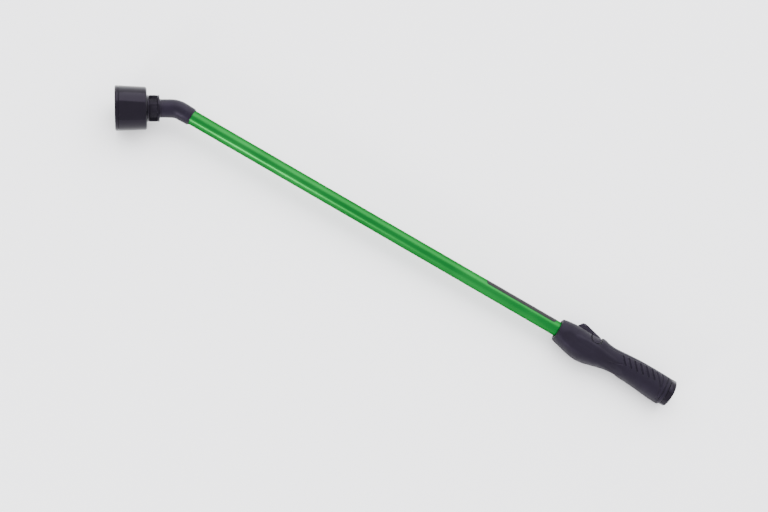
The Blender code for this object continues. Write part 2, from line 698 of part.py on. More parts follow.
def rocker_top(drop):
    """The rocker's thumb surface from front to back, lowered by the drop."""
    top = ((556.6, 20.2), (558.6, 22.2), (561.2, 23.2), (565.0, 23.0), (570.0, 21.7),
           (576.0, 20.0), (582.0, 18.4), (586.0, 17.4))
    return [(x * MM, y * MM - drop) for x, y in top]


def handle_form(start, end, inset):
    """The handle's outer form between two places, as one closed solid."""
    shape = bmesh.new()
    skin(shape, handle_rings(start, end, inset), False)
    return shape


def paddle_saddle(plastic, parent):
    """The paddle's two wings and the bridge between them, cut to the handle's own form."""
    bridge = [(575.5, 12.4), (575.5, 15.6), (586.8, 15.6), (586.5, 12.1), (584.8, 10.5), (577.6, 10.3)]
    start, end = RECESS_START - 3.0 * MM, WELL_END + 3.0 * MM
    wings = make_object("paddle_wings", extruded(
        u_outline(WING_START, WING_END, WING_FOOT, WING_CORNER, WING_TOP), 30.0 * MM), plastic, parent)
    boolean(wings, "wing_inner_form", handle_form(start, end, WING_INNER_INSET), "DIFFERENCE", parent)
    boolean(wings, "wing_bridge", extruded([(x * MM, y * MM) for x, y in bridge], 31.0 * MM), "UNION",
            parent)
    boolean(wings, "wing_outer_form", handle_form(start, end, WING_OUTER_INSET), "INTERSECT", parent)
    return wings


def thumb_rocker(plastic, pad_finish, steel, parent, rocker_frame):
    pivot = Vector((PIVOT_X, PIVOT_Y, 0.0))
    top = rocker_top(PAD_THICKNESS + GAP)
    outline = [(554.6 * MM, 15.2 * MM), (554.6 * MM, 17.2 * MM)] + top
    paddle_foot = [(587.4 * MM, 14.8 * MM), (587.0 * MM, 12.0 * MM), (585.0 * MM, 10.2 * MM),
                   (577.4 * MM, 10.0 * MM)]
    outline += paddle_foot + [(574.2 * MM, 10.6 * MM)]
    outline += arc((PIVOT_X, PIVOT_Y + 1.2 * MM), 3.0 * MM, 300.0, 240.0, 3)
    outline += [(567.8 * MM, 10.6 * MM), (562.5 * MM, 14.4 * MM)]
    rocker = make_moving("thumb_rocker", extruded(outline, ROCKER_HALF_WIDTH), plastic,
                         rocker_frame, pivot)
    paddle = [(PADDLE_START, 12.2 * MM), (PADDLE_START, 18.8 * MM)]
    paddle += [(x, y - 0.05 * MM) for x, y in top if x > PADDLE_START + 2.0 * MM] + paddle_foot
    boolean(rocker, "rocker_paddle", extruded(paddle, PADDLE_HALF_WIDTH, PADDLE_TAPER, 12.0 * MM),
            "UNION", parent)
    boolean_with(rocker, paddle_saddle(plastic, parent), "UNION")
    tilt = ROCKER_THROW / 2.0
    down = Vector((-math.sin(tilt), -math.cos(tilt), 0.0))
    across = Vector((-down.y, down.x, 0.0))
    tip = pivot + FINGER_ARM * down
    finger = bmesh.new()
    half = 1.3 * MM
    near = pivot + 0.5 * MM * down
    corners = (near - half * across, tip - half * across, tip + half * across, near + half * across)
    skin(finger, [[corner + Vector((0.0, 0.0, z)) for corner in corners]
                  for z in (-FINGER_HALF_WIDTH, FINGER_HALF_WIDTH)], False)
    boolean(rocker, "finger_blade", finger, "UNION", parent)
    ball = extruded(arc((tip.x, tip.y), FINGER_TIP_RADIUS, 0.0, 345.0, 24), FINGER_HALF_WIDTH)
    boolean(rocker, "finger_tip", ball, "UNION", parent)
    boolean(rocker, "rocker_pin_cutter", pin_rod(PIN_RADIUS + GAP, 20.0 * MM), "DIFFERENCE", parent)

    pad = extruded(rocker_top(0.0) + list(reversed(rocker_top(PAD_THICKNESS))),
                   ROCKER_HALF_WIDTH - 0.7 * MM)
    make_moving("rocker_pad", pad, pad_finish, rocker_frame, pivot)
    make_object("rocker_pin", pin_rod(PIN_RADIUS, PIN_HALF_LENGTH), steel, parent)


# Hose end

def near_rib(angle, half_rib):
    """Whether an angle round the swivel is on one of its ribs."""
    pitch = 2.0 * math.pi / SWIVEL_RIBS
    offset = (angle - SWIVEL_FIRST_RIB + pitch / 2.0) % pitch - pitch / 2.0
    return abs(offset) < half_rib


def hose_swivel(plastic, swivel_frame):
    """The turning coupling: a ribbed rim, a barrel and the web that rides on the spigot."""
    pivot = Vector((SWIVEL_START, 0.0, 0.0))
    web_start = CORE_END + GAP
    profile = ((web_start, SPIGOT_RADIUS + GAP), (web_start, SWIVEL_BARREL_RADIUS - 1.2 * MM),
               (web_start + 1.2 * MM, SWIVEL_BARREL_RADIUS), (SWIVEL_START, SWIVEL_BARREL_RADIUS),
               (SWIVEL_START, SWIVEL_RADIUS), (SWIVEL_END - 0.8 * MM, SWIVEL_RADIUS),
               (SWIVEL_END, SWIVEL_RADIUS - SWIVEL_RIB_DEPTH), (SWIVEL_END, HOSE_SOCKET_RADIUS),
               (SWIVEL_WEB_END, HOSE_SOCKET_RADIUS), (SWIVEL_WEB_END, SPIGOT_RADIUS + GAP))
    steps = 9 * SWIVEL_RIBS
    half_rib = math.pi / steps * 1.5
    rings = []
    for along, radius in profile:
        ring = circle(TUBE_AXIS, along, radius, steps)
        if radius == SWIVEL_RADIUS:
            valley = circle(TUBE_AXIS, along, radius - SWIVEL_RIB_DEPTH, steps)
            ring = [ring[step] if near_rib(2.0 * math.pi * step / steps, half_rib) else valley[step]
                    for step in range(steps)]
        rings.append(ring)
    shape = bmesh.new()
    skin(shape, rings, True)
    make_moving("hose_swivel", shape, plastic, swivel_frame, pivot)


def hose_end(plastic, steel, rubber, parent, swivel_frame):
    hose_swivel(plastic, swivel_frame)
    clip = washer(TUBE_AXIS, CIRCLIP_START, CIRCLIP_START + CIRCLIP_THICKNESS,
                  SPIGOT_RADIUS - 1.0 * MM + GAP, SPIGOT_RADIUS + 2.2 * MM)
    make_object("swivel_circlip", clip, steel, parent)
    start = SPIGOT_END + GAP
    seal = washer(TUBE_AXIS, start, start + WASHER_THICKNESS, SCREEN_RADIUS + GAP,
                  HOSE_SOCKET_RADIUS - GAP)
    make_moving("hose_washer", seal, rubber, swivel_frame, Vector((SWIVEL_START, 0.0, 0.0)))
    screen = perforated_disc(TUBE_AXIS, start + 1.0 * MM, 0.6 * MM, SCREEN_RADIUS,
                             hole_rings(2, 2.6 * MM), 0.7 * MM)
    make_object("inlet_screen", screen, steel, parent)


def stand_on_origin(frame):
    """Move the whole wand so that the middle of its box stands on the origin."""
    bpy.context.view_layer.update()
    corners = []
    for item in bpy.data.objects:
        if item.type == "MESH" and not item.hide_render:
            corners += [item.matrix_world @ vertex.co for vertex in item.data.vertices]
    low = Vector([min(corner[i] for corner in corners) for i in range(3)])
    high = Vector([max(corner[i] for corner in corners) for i in range(3)])
    frame.location = Vector((-(low.x + high.x) / 2.0, -(low.y + high.y) / 2.0, -low.z))


def main():
    clear_scene()
    black = make_material("black_plastic", (0.025, 0.022, 0.032), 0.35)
    core_black = make_material("core_plastic", (0.05, 0.05, 0.06), 0.5)
    grip = make_material("grip_rubber", (0.045, 0.036, 0.055), 0.7)
    green = make_material("green_anodised", (0.03, 0.30, 0.06), 0.3, 0.9)
    steel = make_material("steel", (0.6, 0.6, 0.6), 0.3, 1.0)
    brass = make_material("brass", (0.7, 0.5, 0.2), 0.3, 1.0)
    rubber = make_material("seal_rubber", (0.02, 0.02, 0.02), 0.8)
    film = make_material("label_film", (0.015, 0.015, 0.018), 0.4)

    wand = make_frame("wand_frame", Vector((0.0, 0.0, 0.0)))
    seat_end = CHAMBER_START + GAP + SEAT_LENGTH
    spool_frame = make_frame("spool_frame", Vector((seat_end, 0.0, 0.0)), wand)
    rocker_frame = make_frame("rocker_frame", Vector((PIVOT_X, PIVOT_Y, 0.0)), wand)
    swivel_frame = make_frame("swivel_frame", Vector((SWIVEL_START, 0.0, 0.0)), wand)

    water_breaker(black, steel, rubber, wand)
    elbow_and_tube(black, green, film, rubber, wand)
    handle_core(core_black, wand)
    grip_sleeve(grip, wand)
    end_cap(black, wand)
    tube_fitting(core_black, steel, rubber, wand)
    valve(core_black, brass, rubber, wand, spool_frame)
    thumb_rocker(grip, rubber, steel, wand, rocker_frame)
    hose_end(black, steel, rubber, wand, swivel_frame)
    stand_on_origin(wand)


main()
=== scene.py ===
# %% [markdown]
# # A watering wand, piece by piece
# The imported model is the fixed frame: it says where every piece is and how it moves.
# This lesson adds what a camera sees: moulded, drawn and overmoulded surfaces, with
# their grooves, ribs, holes and threads. Each piece takes its place from the frame.

# %% Load the frame
import math
import bmesh
import bpy
import numpy as np
from mathutils import Matrix, Vector


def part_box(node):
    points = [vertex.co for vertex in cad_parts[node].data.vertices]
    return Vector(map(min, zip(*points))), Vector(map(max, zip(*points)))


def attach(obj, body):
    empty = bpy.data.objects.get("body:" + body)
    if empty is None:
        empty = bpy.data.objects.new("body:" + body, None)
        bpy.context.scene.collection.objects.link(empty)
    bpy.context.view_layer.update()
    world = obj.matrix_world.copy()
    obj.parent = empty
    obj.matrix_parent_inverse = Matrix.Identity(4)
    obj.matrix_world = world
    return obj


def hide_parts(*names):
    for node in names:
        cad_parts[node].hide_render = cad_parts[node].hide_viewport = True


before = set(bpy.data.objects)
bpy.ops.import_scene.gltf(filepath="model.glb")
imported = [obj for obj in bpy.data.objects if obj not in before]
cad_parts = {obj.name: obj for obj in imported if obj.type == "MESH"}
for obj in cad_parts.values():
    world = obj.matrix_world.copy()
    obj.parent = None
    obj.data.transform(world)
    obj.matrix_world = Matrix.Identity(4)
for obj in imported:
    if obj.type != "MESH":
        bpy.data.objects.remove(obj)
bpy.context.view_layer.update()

# %% [markdown]
# ## Two working frames
# The wand has two axes: the tube's and the head's, which is bent 33 degrees from it.
# Places along the tube are in millimetres from the elbow's mouth, and places along the
# head are in millimetres from the face, so each piece is drawn in the simplest frame
# and moved into the wand once it is finished.

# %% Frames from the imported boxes
MM = 0.001
TUBE_START = -12.0
BEND = math.radians(33.0)
BEND_CORNER = -20.3
FACE_TO_CORNER = 75.9

tube_low, tube_high = (Vector(corner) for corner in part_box("tube"))
TUBE_RADIUS = (tube_high.z - tube_low.z) / 2.0 / MM
TUBE_END = (tube_high.x - tube_low.x) / MM + TUBE_START
ZERO = Vector((tube_low.x - TUBE_START * MM, (tube_low.y + tube_high.y) / 2.0,
               (tube_low.z + tube_high.z) / 2.0))
HEAD_DIRECTION = Vector((math.cos(BEND), math.sin(BEND), 0.0))
FACE_CENTRE = ZERO + MM * (Vector((BEND_CORNER, 0.0, 0.0)) - FACE_TO_CORNER * HEAD_DIRECTION)


def axis_frame(origin, direction):
    """Local Z runs along the direction and local X points up."""
    up = Vector((0.0, 0.0, 1.0))
    side = direction.cross(up)
    turn = Matrix((up, side, direction)).transposed().to_4x4()
    return Matrix.Translation(origin) @ turn @ Matrix.Scale(MM, 4)


ON_TUBE = axis_frame(ZERO, Vector((1.0, 0.0, 0.0)))
ON_HEAD = axis_frame(FACE_CENTRE, HEAD_DIRECTION)
IN_WAND = Matrix.Translation(ZERO) @ Matrix.Scale(MM, 4)
print("tube radius %.2f mm, tube end at %.1f mm" % (TUBE_RADIUS, TUBE_END))

# %% [markdown]
# ## The camera
# The wand is looked at almost straight down, rolled a little about its tube so that the
# thumb side turns away. The camera is therefore placed from three facts: how far the view
# leans towards the belly side, how steeply the tube runs across the picture, and which
# point of the wand is in the middle.

# %% Place the camera
LEAN = math.radians(22.0)
SLOPE = math.radians(30.08)
LENS = 55.0
DISTANCE = 1.478
MIDDLE_ALONG = 298.7
MIDDLE_ACROSS = -29.9

towards = Vector((0.0, -math.sin(LEAN), math.cos(LEAN)))
thumb_side = Vector((0.0, math.cos(LEAN), math.sin(LEAN)))
along = Vector((1.0, 0.0, 0.0))
right = math.cos(SLOPE) * along + math.sin(SLOPE) * thumb_side
up = -math.sin(SLOPE) * along + math.cos(SLOPE) * thumb_side
middle = ZERO + MM * (MIDDLE_ALONG * along + MIDDLE_ACROSS * thumb_side)

camera_data = bpy.data.cameras.new("camera")
camera_data.lens = LENS
camera_data.clip_end = 20.0
camera = bpy.data.objects.new("camera", camera_data)
camera.matrix_world = (Matrix.Translation(middle + DISTANCE * towards)
                       @ Matrix((right, up, towards)).transposed().to_4x4())
bpy.context.collection.objects.link(camera)
bpy.context.scene.camera = camera
print("camera stands %.2f m away" % DISTANCE)

# %% [markdown]
# ## Tools of the workshop
# Pieces start as a few points. `turn_piece` spins a profile, `loft_piece` joins sections,
# `extrude_piece` draws a side view out to both sides. A modifier stack then rounds the
# edges, and `settle` applies it and moves the finished mesh into the wand, because a
# finished object stands at the origin with its place in its mesh.

# %% Making and settling pieces


def new_piece(name, points, faces=(), edges=()):
    mesh = bpy.data.meshes.new(name)
    mesh.from_pydata([tuple(point) for point in points], list(edges), list(faces))
    made = bpy.data.objects.new(name, mesh)
    bpy.context.collection.objects.link(made)
    return made


def apply_stack(piece):
    shapes = bpy.context.evaluated_depsgraph_get()
    mesh = bpy.data.meshes.new_from_object(piece.evaluated_get(shapes))
    piece.modifiers.clear()
    piece.data = mesh


def face_outwards(piece):
    shape = bmesh.new()
    shape.from_mesh(piece.data)
    bmesh.ops.recalc_face_normals(shape, faces=shape.faces)
    shape.to_mesh(piece.data)
    shape.free()


def soften(piece, width, segments=3, angle=30.0):
    """Round every sharp edge by a width in millimetres."""
    bevel = piece.modifiers.new("rounding", "BEVEL")
    bevel.width = width
    bevel.segments = segments
    bevel.limit_method = "ANGLE"
    bevel.angle_limit = math.radians(angle)


def settle(piece, place, finish, body, *nodes):
    """Apply the stack, move the mesh to its place, and say what it is and rides on."""
    apply_stack(piece)
    piece.data.transform(place)
    piece.data.shade_smooth()
    piece.data.set_sharp_from_angle(angle=math.radians(40.0))
    piece.data.materials.clear()
    piece.data.materials.append(finish)
    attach(piece, body)
    if nodes:
        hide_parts(*nodes)
    print("%-18s %6d faces" % (piece.name, len(piece.data.polygons)))
    return piece


def cut(piece, cutter, operation="DIFFERENCE"):
    """Cut a finished helper shape out of a piece, or join or trim by it; the helper goes."""
    modifier = piece.modifiers.new("cut", "BOOLEAN")
    modifier.solver = "EXACT"
    modifier.operation = operation
    modifier.object = cutter
    apply_stack(piece)
    bpy.data.objects.remove(cutter)

# %% Turned, lofted and extruded shapes


def turn_piece(name, profile, steps=96):
    """Spin a closed profile of (radius, along) about the local Z axis.
    The profile runs down its outer side, from the far end to the near one."""
    points = [(radius, 0.0, along) for radius, along in profile]
    count = len(points)
    piece = new_piece(name, points, edges=[(i, (i + 1) % count) for i in range(count)])
    screw = piece.modifiers.new("turning", "SCREW")
    screw.steps = steps
    screw.render_steps = steps
    screw.use_merge_vertices = True
    screw.merge_threshold = 0.0001
    apply_stack(piece)
    face_outwards(piece)
    return piece


def loft_piece(name, rings, closed=False):
    """Join sections of equal count: into a loop when closed, else with end caps."""
    count = len(rings[0])
    points = [point for ring in rings for point in ring]
    rows = len(rings)
    faces = []
    for row in range(rows if closed else rows - 1):
        here = row * count
        there = ((row + 1) % rows) * count
        for step in range(count):
            after = (step + 1) % count
            faces.append((here + step, here + after, there + after, there + step))
    if not closed:
        faces.append(tuple(range(count)))
        faces.append(tuple(range((rows - 1) * count, rows * count)))
    piece = new_piece(name, points, faces)
    face_outwards(piece)
    return piece


def extrude_piece(name, outline, half_width, taper=0.0, taper_from=0.0):
    """Draw a side view of (x, y) out to both sides, narrower towards +Y if tapered."""
    sides = []
    for sign in (-1.0, 1.0):
        sides.append([(x, y, sign * (half_width - taper * max(0.0, y - taper_from)))
                      for x, y in outline])
    return loft_piece(name, sides)


def circle(radius, along, steps, x=0.0, y=0.0):
    return [(x + radius * math.cos(2 * math.pi * i / steps),
             y + radius * math.sin(2 * math.pi * i / steps), along) for i in range(steps)]


def arc(x, y, radius, start, end, count):
    return [(x + radius * math.cos(math.radians(start + (end - start) * i / (count - 1))),
             y + radius * math.sin(math.radians(start + (end - start) * i / (count - 1))))
            for i in range(count)]

# %% [markdown]
# ## Finishes
# Every finish starts from what the real surface is and how it was made. Colours are sRGB
# hex values, turned to the linear values that shaders use by one function. Patterns are
# sized from real millimetres: `per_mm` gives the texture scale whose features are that big.

# %% Colour, scale and one way to add a node


def linear(code):
    channels = [int(code[i:i + 2], 16) / 255.0 for i in (1, 3, 5)]
    return tuple(c / 12.92 if c <= 0.04045 else ((c + 0.055) / 1.055) ** 2.4
                 for c in channels) + (1.0,)


def per_mm(size):
    return 1.0 / (size * MM)


def add_node(owner, kind, settings=(), values=(), links=()):
    """Add a node to a material or world: its settings, its socket values, and what feeds it."""
    tree = owner.node_tree
    made = tree.nodes.new(kind)
    for name, value in dict(settings).items():
        setattr(made, name, value)
    for socket, value in dict(values).items():
        made.inputs[socket].default_value = value
    for socket, source in dict(links).items():
        tree.links.new(source, made.inputs[socket])
    return made

# %% What every finish starts and ends with


def new_finish(name, **values):
    """A material, its shader with the given values, and the place on the surface."""
    material = bpy.data.materials.new(name)
    material.use_nodes = True
    shader = material.node_tree.nodes["Principled BSDF"]
    for socket, value in values.items():
        shader.inputs[socket.replace("_", " ")].default_value = value
    return material, shader, add_node(material, "ShaderNodeTexCoord").outputs["Object"]


def grain(material, place, size, low=0.0, high=1.0, detail=3.0):
    """A noise whose features are size millimetres wide, and its value spread low to high."""
    noise = add_node(material, "ShaderNodeTexNoise", {},
                     {"Scale": per_mm(size), "Detail": detail}, {"Vector": place})
    spread = add_node(material, "ShaderNodeMapRange", {},
                      {"From Min": 0.3, "From Max": 0.7, "To Min": low, "To Max": high},
                      {"Value": noise.outputs["Fac"]})
    return noise.outputs["Fac"], spread.outputs["Result"]


# The Mix node has one A and one B for each type of value, so its colours go by number.
MIX_DARK, MIX_LIGHT, MIX_RESULT = 6, 7, 2


def dress(material, shader, shades, share, rough, *dents):
    """Join the patterns to the shader: two shades mixed by a share, a roughness, and dents
    in one another, each with a height pattern, a depth in millimetres and a strength."""
    mix = add_node(material, "ShaderNodeMix", {"data_type": "RGBA"},
                   {MIX_DARK: linear(shades[0]), MIX_LIGHT: linear(shades[1])}, {"Factor": share})
    patterns = {"Base Color": mix.outputs[MIX_RESULT], "Roughness": rough}
    for height, depth, strength in dents:
        below = {"Normal": patterns["Normal"]} if "Normal" in patterns else {}
        bump = add_node(material, "ShaderNodeBump", {}, {"Distance": depth * MM, "Strength": strength},
                        {"Height": height, **below})
        patterns["Normal"] = bump.outputs["Normal"]
    for socket, source in patterns.items():
        material.node_tree.links.new(source, shader.inputs[socket])

# %% [markdown]
# ### Moulded black ABS
# The head, elbow and coupling are injection-moulded ABS from a polished tool. The eye sees
# a near-black with a slight violet cast, soft-edged reflections, and the faint waviness that
# a thick moulding gets as it shrinks. The waviness is about 9 mm across, and a finer 3 mm
# unevenness keeps highlights from being perfect.

# %% Black ABS


def moulded_abs(name, shades, rough_low, rough_high):
    material, shader, place = new_finish(name, IOR=1.53, Specular_IOR_Level=0.17,
                                         Specular_Tint=linear("#dacdea"))
    _, share = grain(material, place, 14.0)
    fine, rough = grain(material, place, 3.0, rough_low, rough_high)
    wave, _ = grain(material, place, 9.0, detail=1.0)
    dress(material, shader, shades, share, rough, (wave, 0.12, 0.2), (fine, 0.02, 0.1))
    return material


GLOSS_ABS = moulded_abs("moulded black ABS", ("#040306", "#070509"), 0.09, 0.15)
SATIN_ABS = moulded_abs("satin black ABS", ("#0c0911", "#120e18"), 0.36, 0.48)
print("ABS finishes:", GLOSS_ABS.name, "and", SATIN_ABS.name)

# %% [markdown]
# ### Soft-touch rubber
# The handle is overmoulded with thermoplastic rubber. Its tool is spark eroded, which gives
# an even pebble grain of about 0.3 mm; here it is drawn 0.9 mm wide so that it shows. The
# surface scatters light at grazing angles, so a little sheen goes with a high roughness, and
# handling leaves slightly smoother patches some 20 mm across.

# %% Soft-touch rubber


def soft_rubber(name, shades, knurl=0.0):
    material, shader, place = new_finish(name, IOR=1.50, Sheen_Weight=0.02, Sheen_Roughness=0.5,
                                         Specular_IOR_Level=0.17, Specular_Tint=linear("#d8c8f0"))
    _, share = grain(material, place, 20.0)
    _, rough = grain(material, place, 12.0, 0.46, 0.60, 2.0)
    pebble = add_node(material, "ShaderNodeTexVoronoi", {"feature": "SMOOTH_F1"},
                      {"Scale": per_mm(0.9), "Smoothness": 0.6}, {"Vector": place})
    dents = [(pebble.outputs["Distance"], 0.08, 0.45)]
    # Two sets of slanting lines make the diamond pattern of a knurled pad.
    for slant in (45.0, -45.0) if knurl else ():
        turned = add_node(material, "ShaderNodeMapping", {},
                          {"Rotation": (0.0, 0.0, math.radians(slant))}, {"Vector": place})
        lines = add_node(material, "ShaderNodeTexWave", {"bands_direction": "X"},
                         {"Scale": per_mm(knurl) / 20.0 * math.pi}, {"Vector": turned.outputs["Vector"]})
        dents.append((lines.outputs["Fac"], 0.25, 0.8))
    dress(material, shader, shades, share, rough, *dents)
    return material


GRIP_RUBBER = soft_rubber("soft-touch rubber", ("#0b090e", "#100d14"))
PAD_RUBBER = soft_rubber("knurled soft-touch rubber", ("#0c0910", "#110d15"), knurl=1.1)
print("rubber finishes:", GRIP_RUBBER.name, "and", PAD_RUBBER.name)

# %% [markdown]
# ### Green anodised aluminium
# The tube is drawn through a die, which leaves faint lines along it, then bright dipped and
# dyed green in the anodising bath. The metal reflects through the clear dyed layer, so the
# colour comes from a metallic base colour. The drawn lines are 0.2 mm apart and long: the
# pattern is stretched along X, and drawn 0.5 mm apart so that it shows.

# %% Green anodised aluminium


DRAWN_LENGTH = 0.012  # the pattern's scale along the tube, against 1 across it

GREEN_TUBE, green_shader, green_place = new_finish(
    "green anodised aluminium", Metallic=1.0, Specular_Tint=linear("#a6d4ae"), Coat_Weight=0.04,
    Coat_Roughness=0.25)
stretched = add_node(GREEN_TUBE, "ShaderNodeMapping", {}, {"Scale": (DRAWN_LENGTH, 1.0, 1.0)},
                     {"Vector": green_place})
drawn_lines, green_rough = grain(GREEN_TUBE, stretched.outputs["Vector"], 0.5, 0.30, 0.37, 4.0)
_, green_share = grain(GREEN_TUBE, green_place, 60.0, detail=2.0)
dress(GREEN_TUBE, green_shader, ("#0d5520", "#126127"), green_share, green_rough, (drawn_lines, 0.02, 0.25))
print("tube finish:", GREEN_TUBE.name)

# %% [markdown]
# ### Small finishes
# The label is a plain black film with a satin overlaminate. Steel parts are stainless, and
# the seat is brass; both have the fine uneven polish of tumbled metal, drawn 0.6 to 0.8 mm
# wide so that it shows. Seals are moulded nitrile, and the housing inside the grip is acetal.

# %% Film, steel, brass, nitrile and acetal


def plain_finish(name, shades, rough_low, rough_high, size, depth, detail, **values):
    """One even pattern of marks, size millimetres wide and depth millimetres deep."""
    material, shader, place = new_finish(name, **values)
    marks, rough = grain(material, place, size, rough_low, rough_high, detail)
    dress(material, shader, shades, marks, rough, (marks, depth, 0.3))
    return material


FILM = plain_finish("black label film", ("#060607", "#0a0a0c"), 0.42, 0.52, 6.0, 0.03, 3.0,
                    IOR=1.49, Specular_IOR_Level=0.2)
STEEL = plain_finish("stainless steel", ("#a9abad", "#c3c5c7"), 0.25, 0.38, 0.8, 0.02, 4.0, Metallic=1.0)
BRASS = plain_finish("turned brass", ("#b48a3c", "#caa253"), 0.28, 0.38, 0.6, 0.02, 4.0, Metallic=1.0)
NITRILE = plain_finish("moulded nitrile", ("#131313", "#1c1c1c"), 0.55, 0.70, 1.2, 0.03, 3.0,
                       IOR=1.52, Specular_IOR_Level=0.2)
ACETAL = plain_finish("black acetal", ("#18181b", "#222226"), 0.40, 0.52, 2.0, 0.03, 3.0,
                      IOR=1.48, Specular_IOR_Level=0.2)

# %% [markdown]
# ## The water breaker's cup
# The cup is one turned shape: a slightly tapered wall, a rounded back and a neck. A Screw
# modifier spins its profile, and a Bevel gives the edges the small radius that a moulding
# tool leaves. The ribs round the neck are what a hand grips to unscrew the head, and stand
# on the neck as bars with rounded ends, made by a loop because they repeat.

# %% Cup and neck
RIM_DEPTH = 4.2
HEAD_RADIUS = 28.3
BACK_RADIUS = 27.0
CUP_DEPTH = 39.0
NECK_RADIUS = 16.0
NECK_END = 54.5
NECK_BEAD = 16.65
SOCKET_RADIUS = 13.3
SOCKET_FLOOR = 42.0
CHAMBER_RADIUS = 24.6
CHAMBER_FLOOR = 35.4
WATERWAY_RADIUS = 9.0
SHOULDER = 3.0
CORNER = 2.8

shoulder = [(NECK_RADIUS + SHOULDER - radius, along) for radius, along in
            arc(0.0, CUP_DEPTH + 2.9, SHOULDER, 0.0, -80.0, 6)]
corner = arc(BACK_RADIUS - CORNER, CUP_DEPTH - CORNER, CORNER, 85.0, 5.0, 7)
bead = [(SOCKET_RADIUS, NECK_END), (NECK_BEAD - 0.55, NECK_END), (NECK_BEAD, NECK_END - 0.5),
        (NECK_BEAD, NECK_END - 2.2), (NECK_RADIUS, NECK_END - 2.6)]
# The lip reaches under the rim, so no light passes through the seam between them.
lip = [(HEAD_RADIUS - 0.05, RIM_DEPTH + 1.5), (HEAD_RADIUS - 0.05, RIM_DEPTH + 0.25),
       (26.1, RIM_DEPTH + 0.25), (26.1, 3.75), (25.2, 3.75), (25.0, 4.9)]
inside = [(CHAMBER_RADIUS, CHAMBER_FLOOR), (WATERWAY_RADIUS, CHAMBER_FLOOR),
          (WATERWAY_RADIUS, SOCKET_FLOOR), (SOCKET_RADIUS, SOCKET_FLOOR)]
cup = turn_piece("breaker_cup", bead + shoulder + corner + lip + inside, 160)
soften(cup, 0.3)
settle(cup, ON_HEAD, GLOSS_ABS, "wand", "breaker_shell")

# %% Neck ribs
RIB_COUNT = 60
RIB_START = 41.4
RIB_HEIGHT = 0.5
RIB_HALF_WIDTH = 0.5


def bar(start, end, inner, outer, half_width, angle):
    """A bar with a rounded crown, lying along the axis at an angle round it."""
    points = []
    for along, drop in ((start, 0.4), (start + 0.6, 0.0), (end - 0.6, 0.0), (end, 0.4)):
        for across, radius in ((-1.0, inner), (-0.7, outer - 0.15 - drop), (0.0, outer - drop),
                               (0.7, outer - 0.15 - drop), (1.0, inner)):
            turn = angle + across * half_width / outer
            points.append((radius * math.cos(turn), radius * math.sin(turn), along))
    return points


rib_rows = []
rib_faces = []
for number in range(RIB_COUNT):
    first = len(rib_rows)
    rib_rows += bar(RIB_START, NECK_END - 2.4, NECK_RADIUS - 0.3, NECK_RADIUS + RIB_HEIGHT,
                    RIB_HALF_WIDTH, 2 * math.pi * number / RIB_COUNT)
    for row in range(3):
        for step in range(5):
            here, after = first + 5 * row + step, first + 5 * row + (step + 1) % 5
            rib_faces.append((here, after, after + 5, here + 5))
    rib_faces += [tuple(range(first, first + 5)), tuple(range(first + 15, first + 20))]
ribs = new_piece("neck_ribs", rib_rows, rib_faces)
face_outwards(ribs)
settle(ribs, ON_HEAD, GLOSS_ABS, "wand")

# %% [markdown]
# ## Rim and face plate
# The rim snaps over the face plate. It has one shallow notch, where a coin levers it off for
# cleaning. The plate is what makes the water fall as soft rain: some four hundred holes a
# millimetre wide, in rings. They are real holes: an outline is filled round them and drawn
# out to the plate's thickness, so that light passes through them from any side.

# %% Rim with its notch
NOTCH_ANGLE = math.radians(28.0)  # from the upward direction, towards the belly side
NOTCH_HALF_WIDTH = 3.6
NOTCH_DEPTH = 3.2
RIM_OPENING = 24.6
RIM_SEAT = 1.3  # how thick the rim is in front of the plate

rim = turn_piece("breaker_rim", [
    (HEAD_RADIUS, RIM_DEPTH), (HEAD_RADIUS + 0.04, 1.0), (27.4, 0.0), (RIM_OPENING, 0.0),
    (RIM_OPENING, RIM_SEAT), (26.3, RIM_SEAT), (26.3, RIM_DEPTH)], 160)
notch = loft_piece("notch", [[(radius, NOTCH_HALF_WIDTH * math.cos(a), NOTCH_DEPTH * math.sin(a) - 0.4)
                              for a in np.linspace(0, 2 * math.pi, 24, endpoint=False)]
                             for radius in (25.0, 30.0)])
notch.data.transform(Matrix.Rotation(NOTCH_ANGLE, 4, "Z"))
cut(rim, notch)
soften(rim, 0.25)
settle(rim, ON_HEAD, GLOSS_ABS, "wand", "face_ring")

# %% Face plate with its holes
HOLE_RINGS = 11
HOLE_PITCH = 2.12
HOLE_RADIUS = 0.52
PLATE_RADIUS = 26.0
PLATE_FRONT = 1.9
PLATE_THICKNESS = 1.6

plate_shape = bmesh.new()
outlines = [circle(PLATE_RADIUS, 0.0, 96)]
for ring in range(HOLE_RINGS + 1):
    for step in range(max(1, 6 * ring)):
        turn = 2 * math.pi * (step + 0.5 * (ring % 2)) / max(1, 6 * ring)
        outlines.append(circle(HOLE_RADIUS, 0.0, 8, ring * HOLE_PITCH * math.cos(turn),
                               ring * HOLE_PITCH * math.sin(turn)))
outline_edges = []
for outline in outlines:
    verts = [plate_shape.verts.new(point) for point in outline]
    outline_edges += [plate_shape.edges.new(pair) for pair in zip(verts, verts[1:] + verts[:1])]
bmesh.ops.triangle_fill(plate_shape, use_beauty=True, edges=outline_edges)
drawn = bmesh.ops.extrude_face_region(plate_shape, geom=plate_shape.faces[:])["geom"]
bmesh.ops.translate(plate_shape, vec=(0.0, 0.0, PLATE_THICKNESS),
                    verts=[item for item in drawn if isinstance(item, bmesh.types.BMVert)])
bmesh.ops.recalc_face_normals(plate_shape, faces=plate_shape.faces)
plate = new_piece("rose_plate", [])
plate_shape.to_mesh(plate.data)
plate_shape.free()
plate.data.transform(Matrix.Translation((0.0, 0.0, PLATE_FRONT)))
settle(plate, ON_HEAD, SATIN_ABS, "wand", "breaker_face")
print("holes in the plate:", len(outlines) - 1)

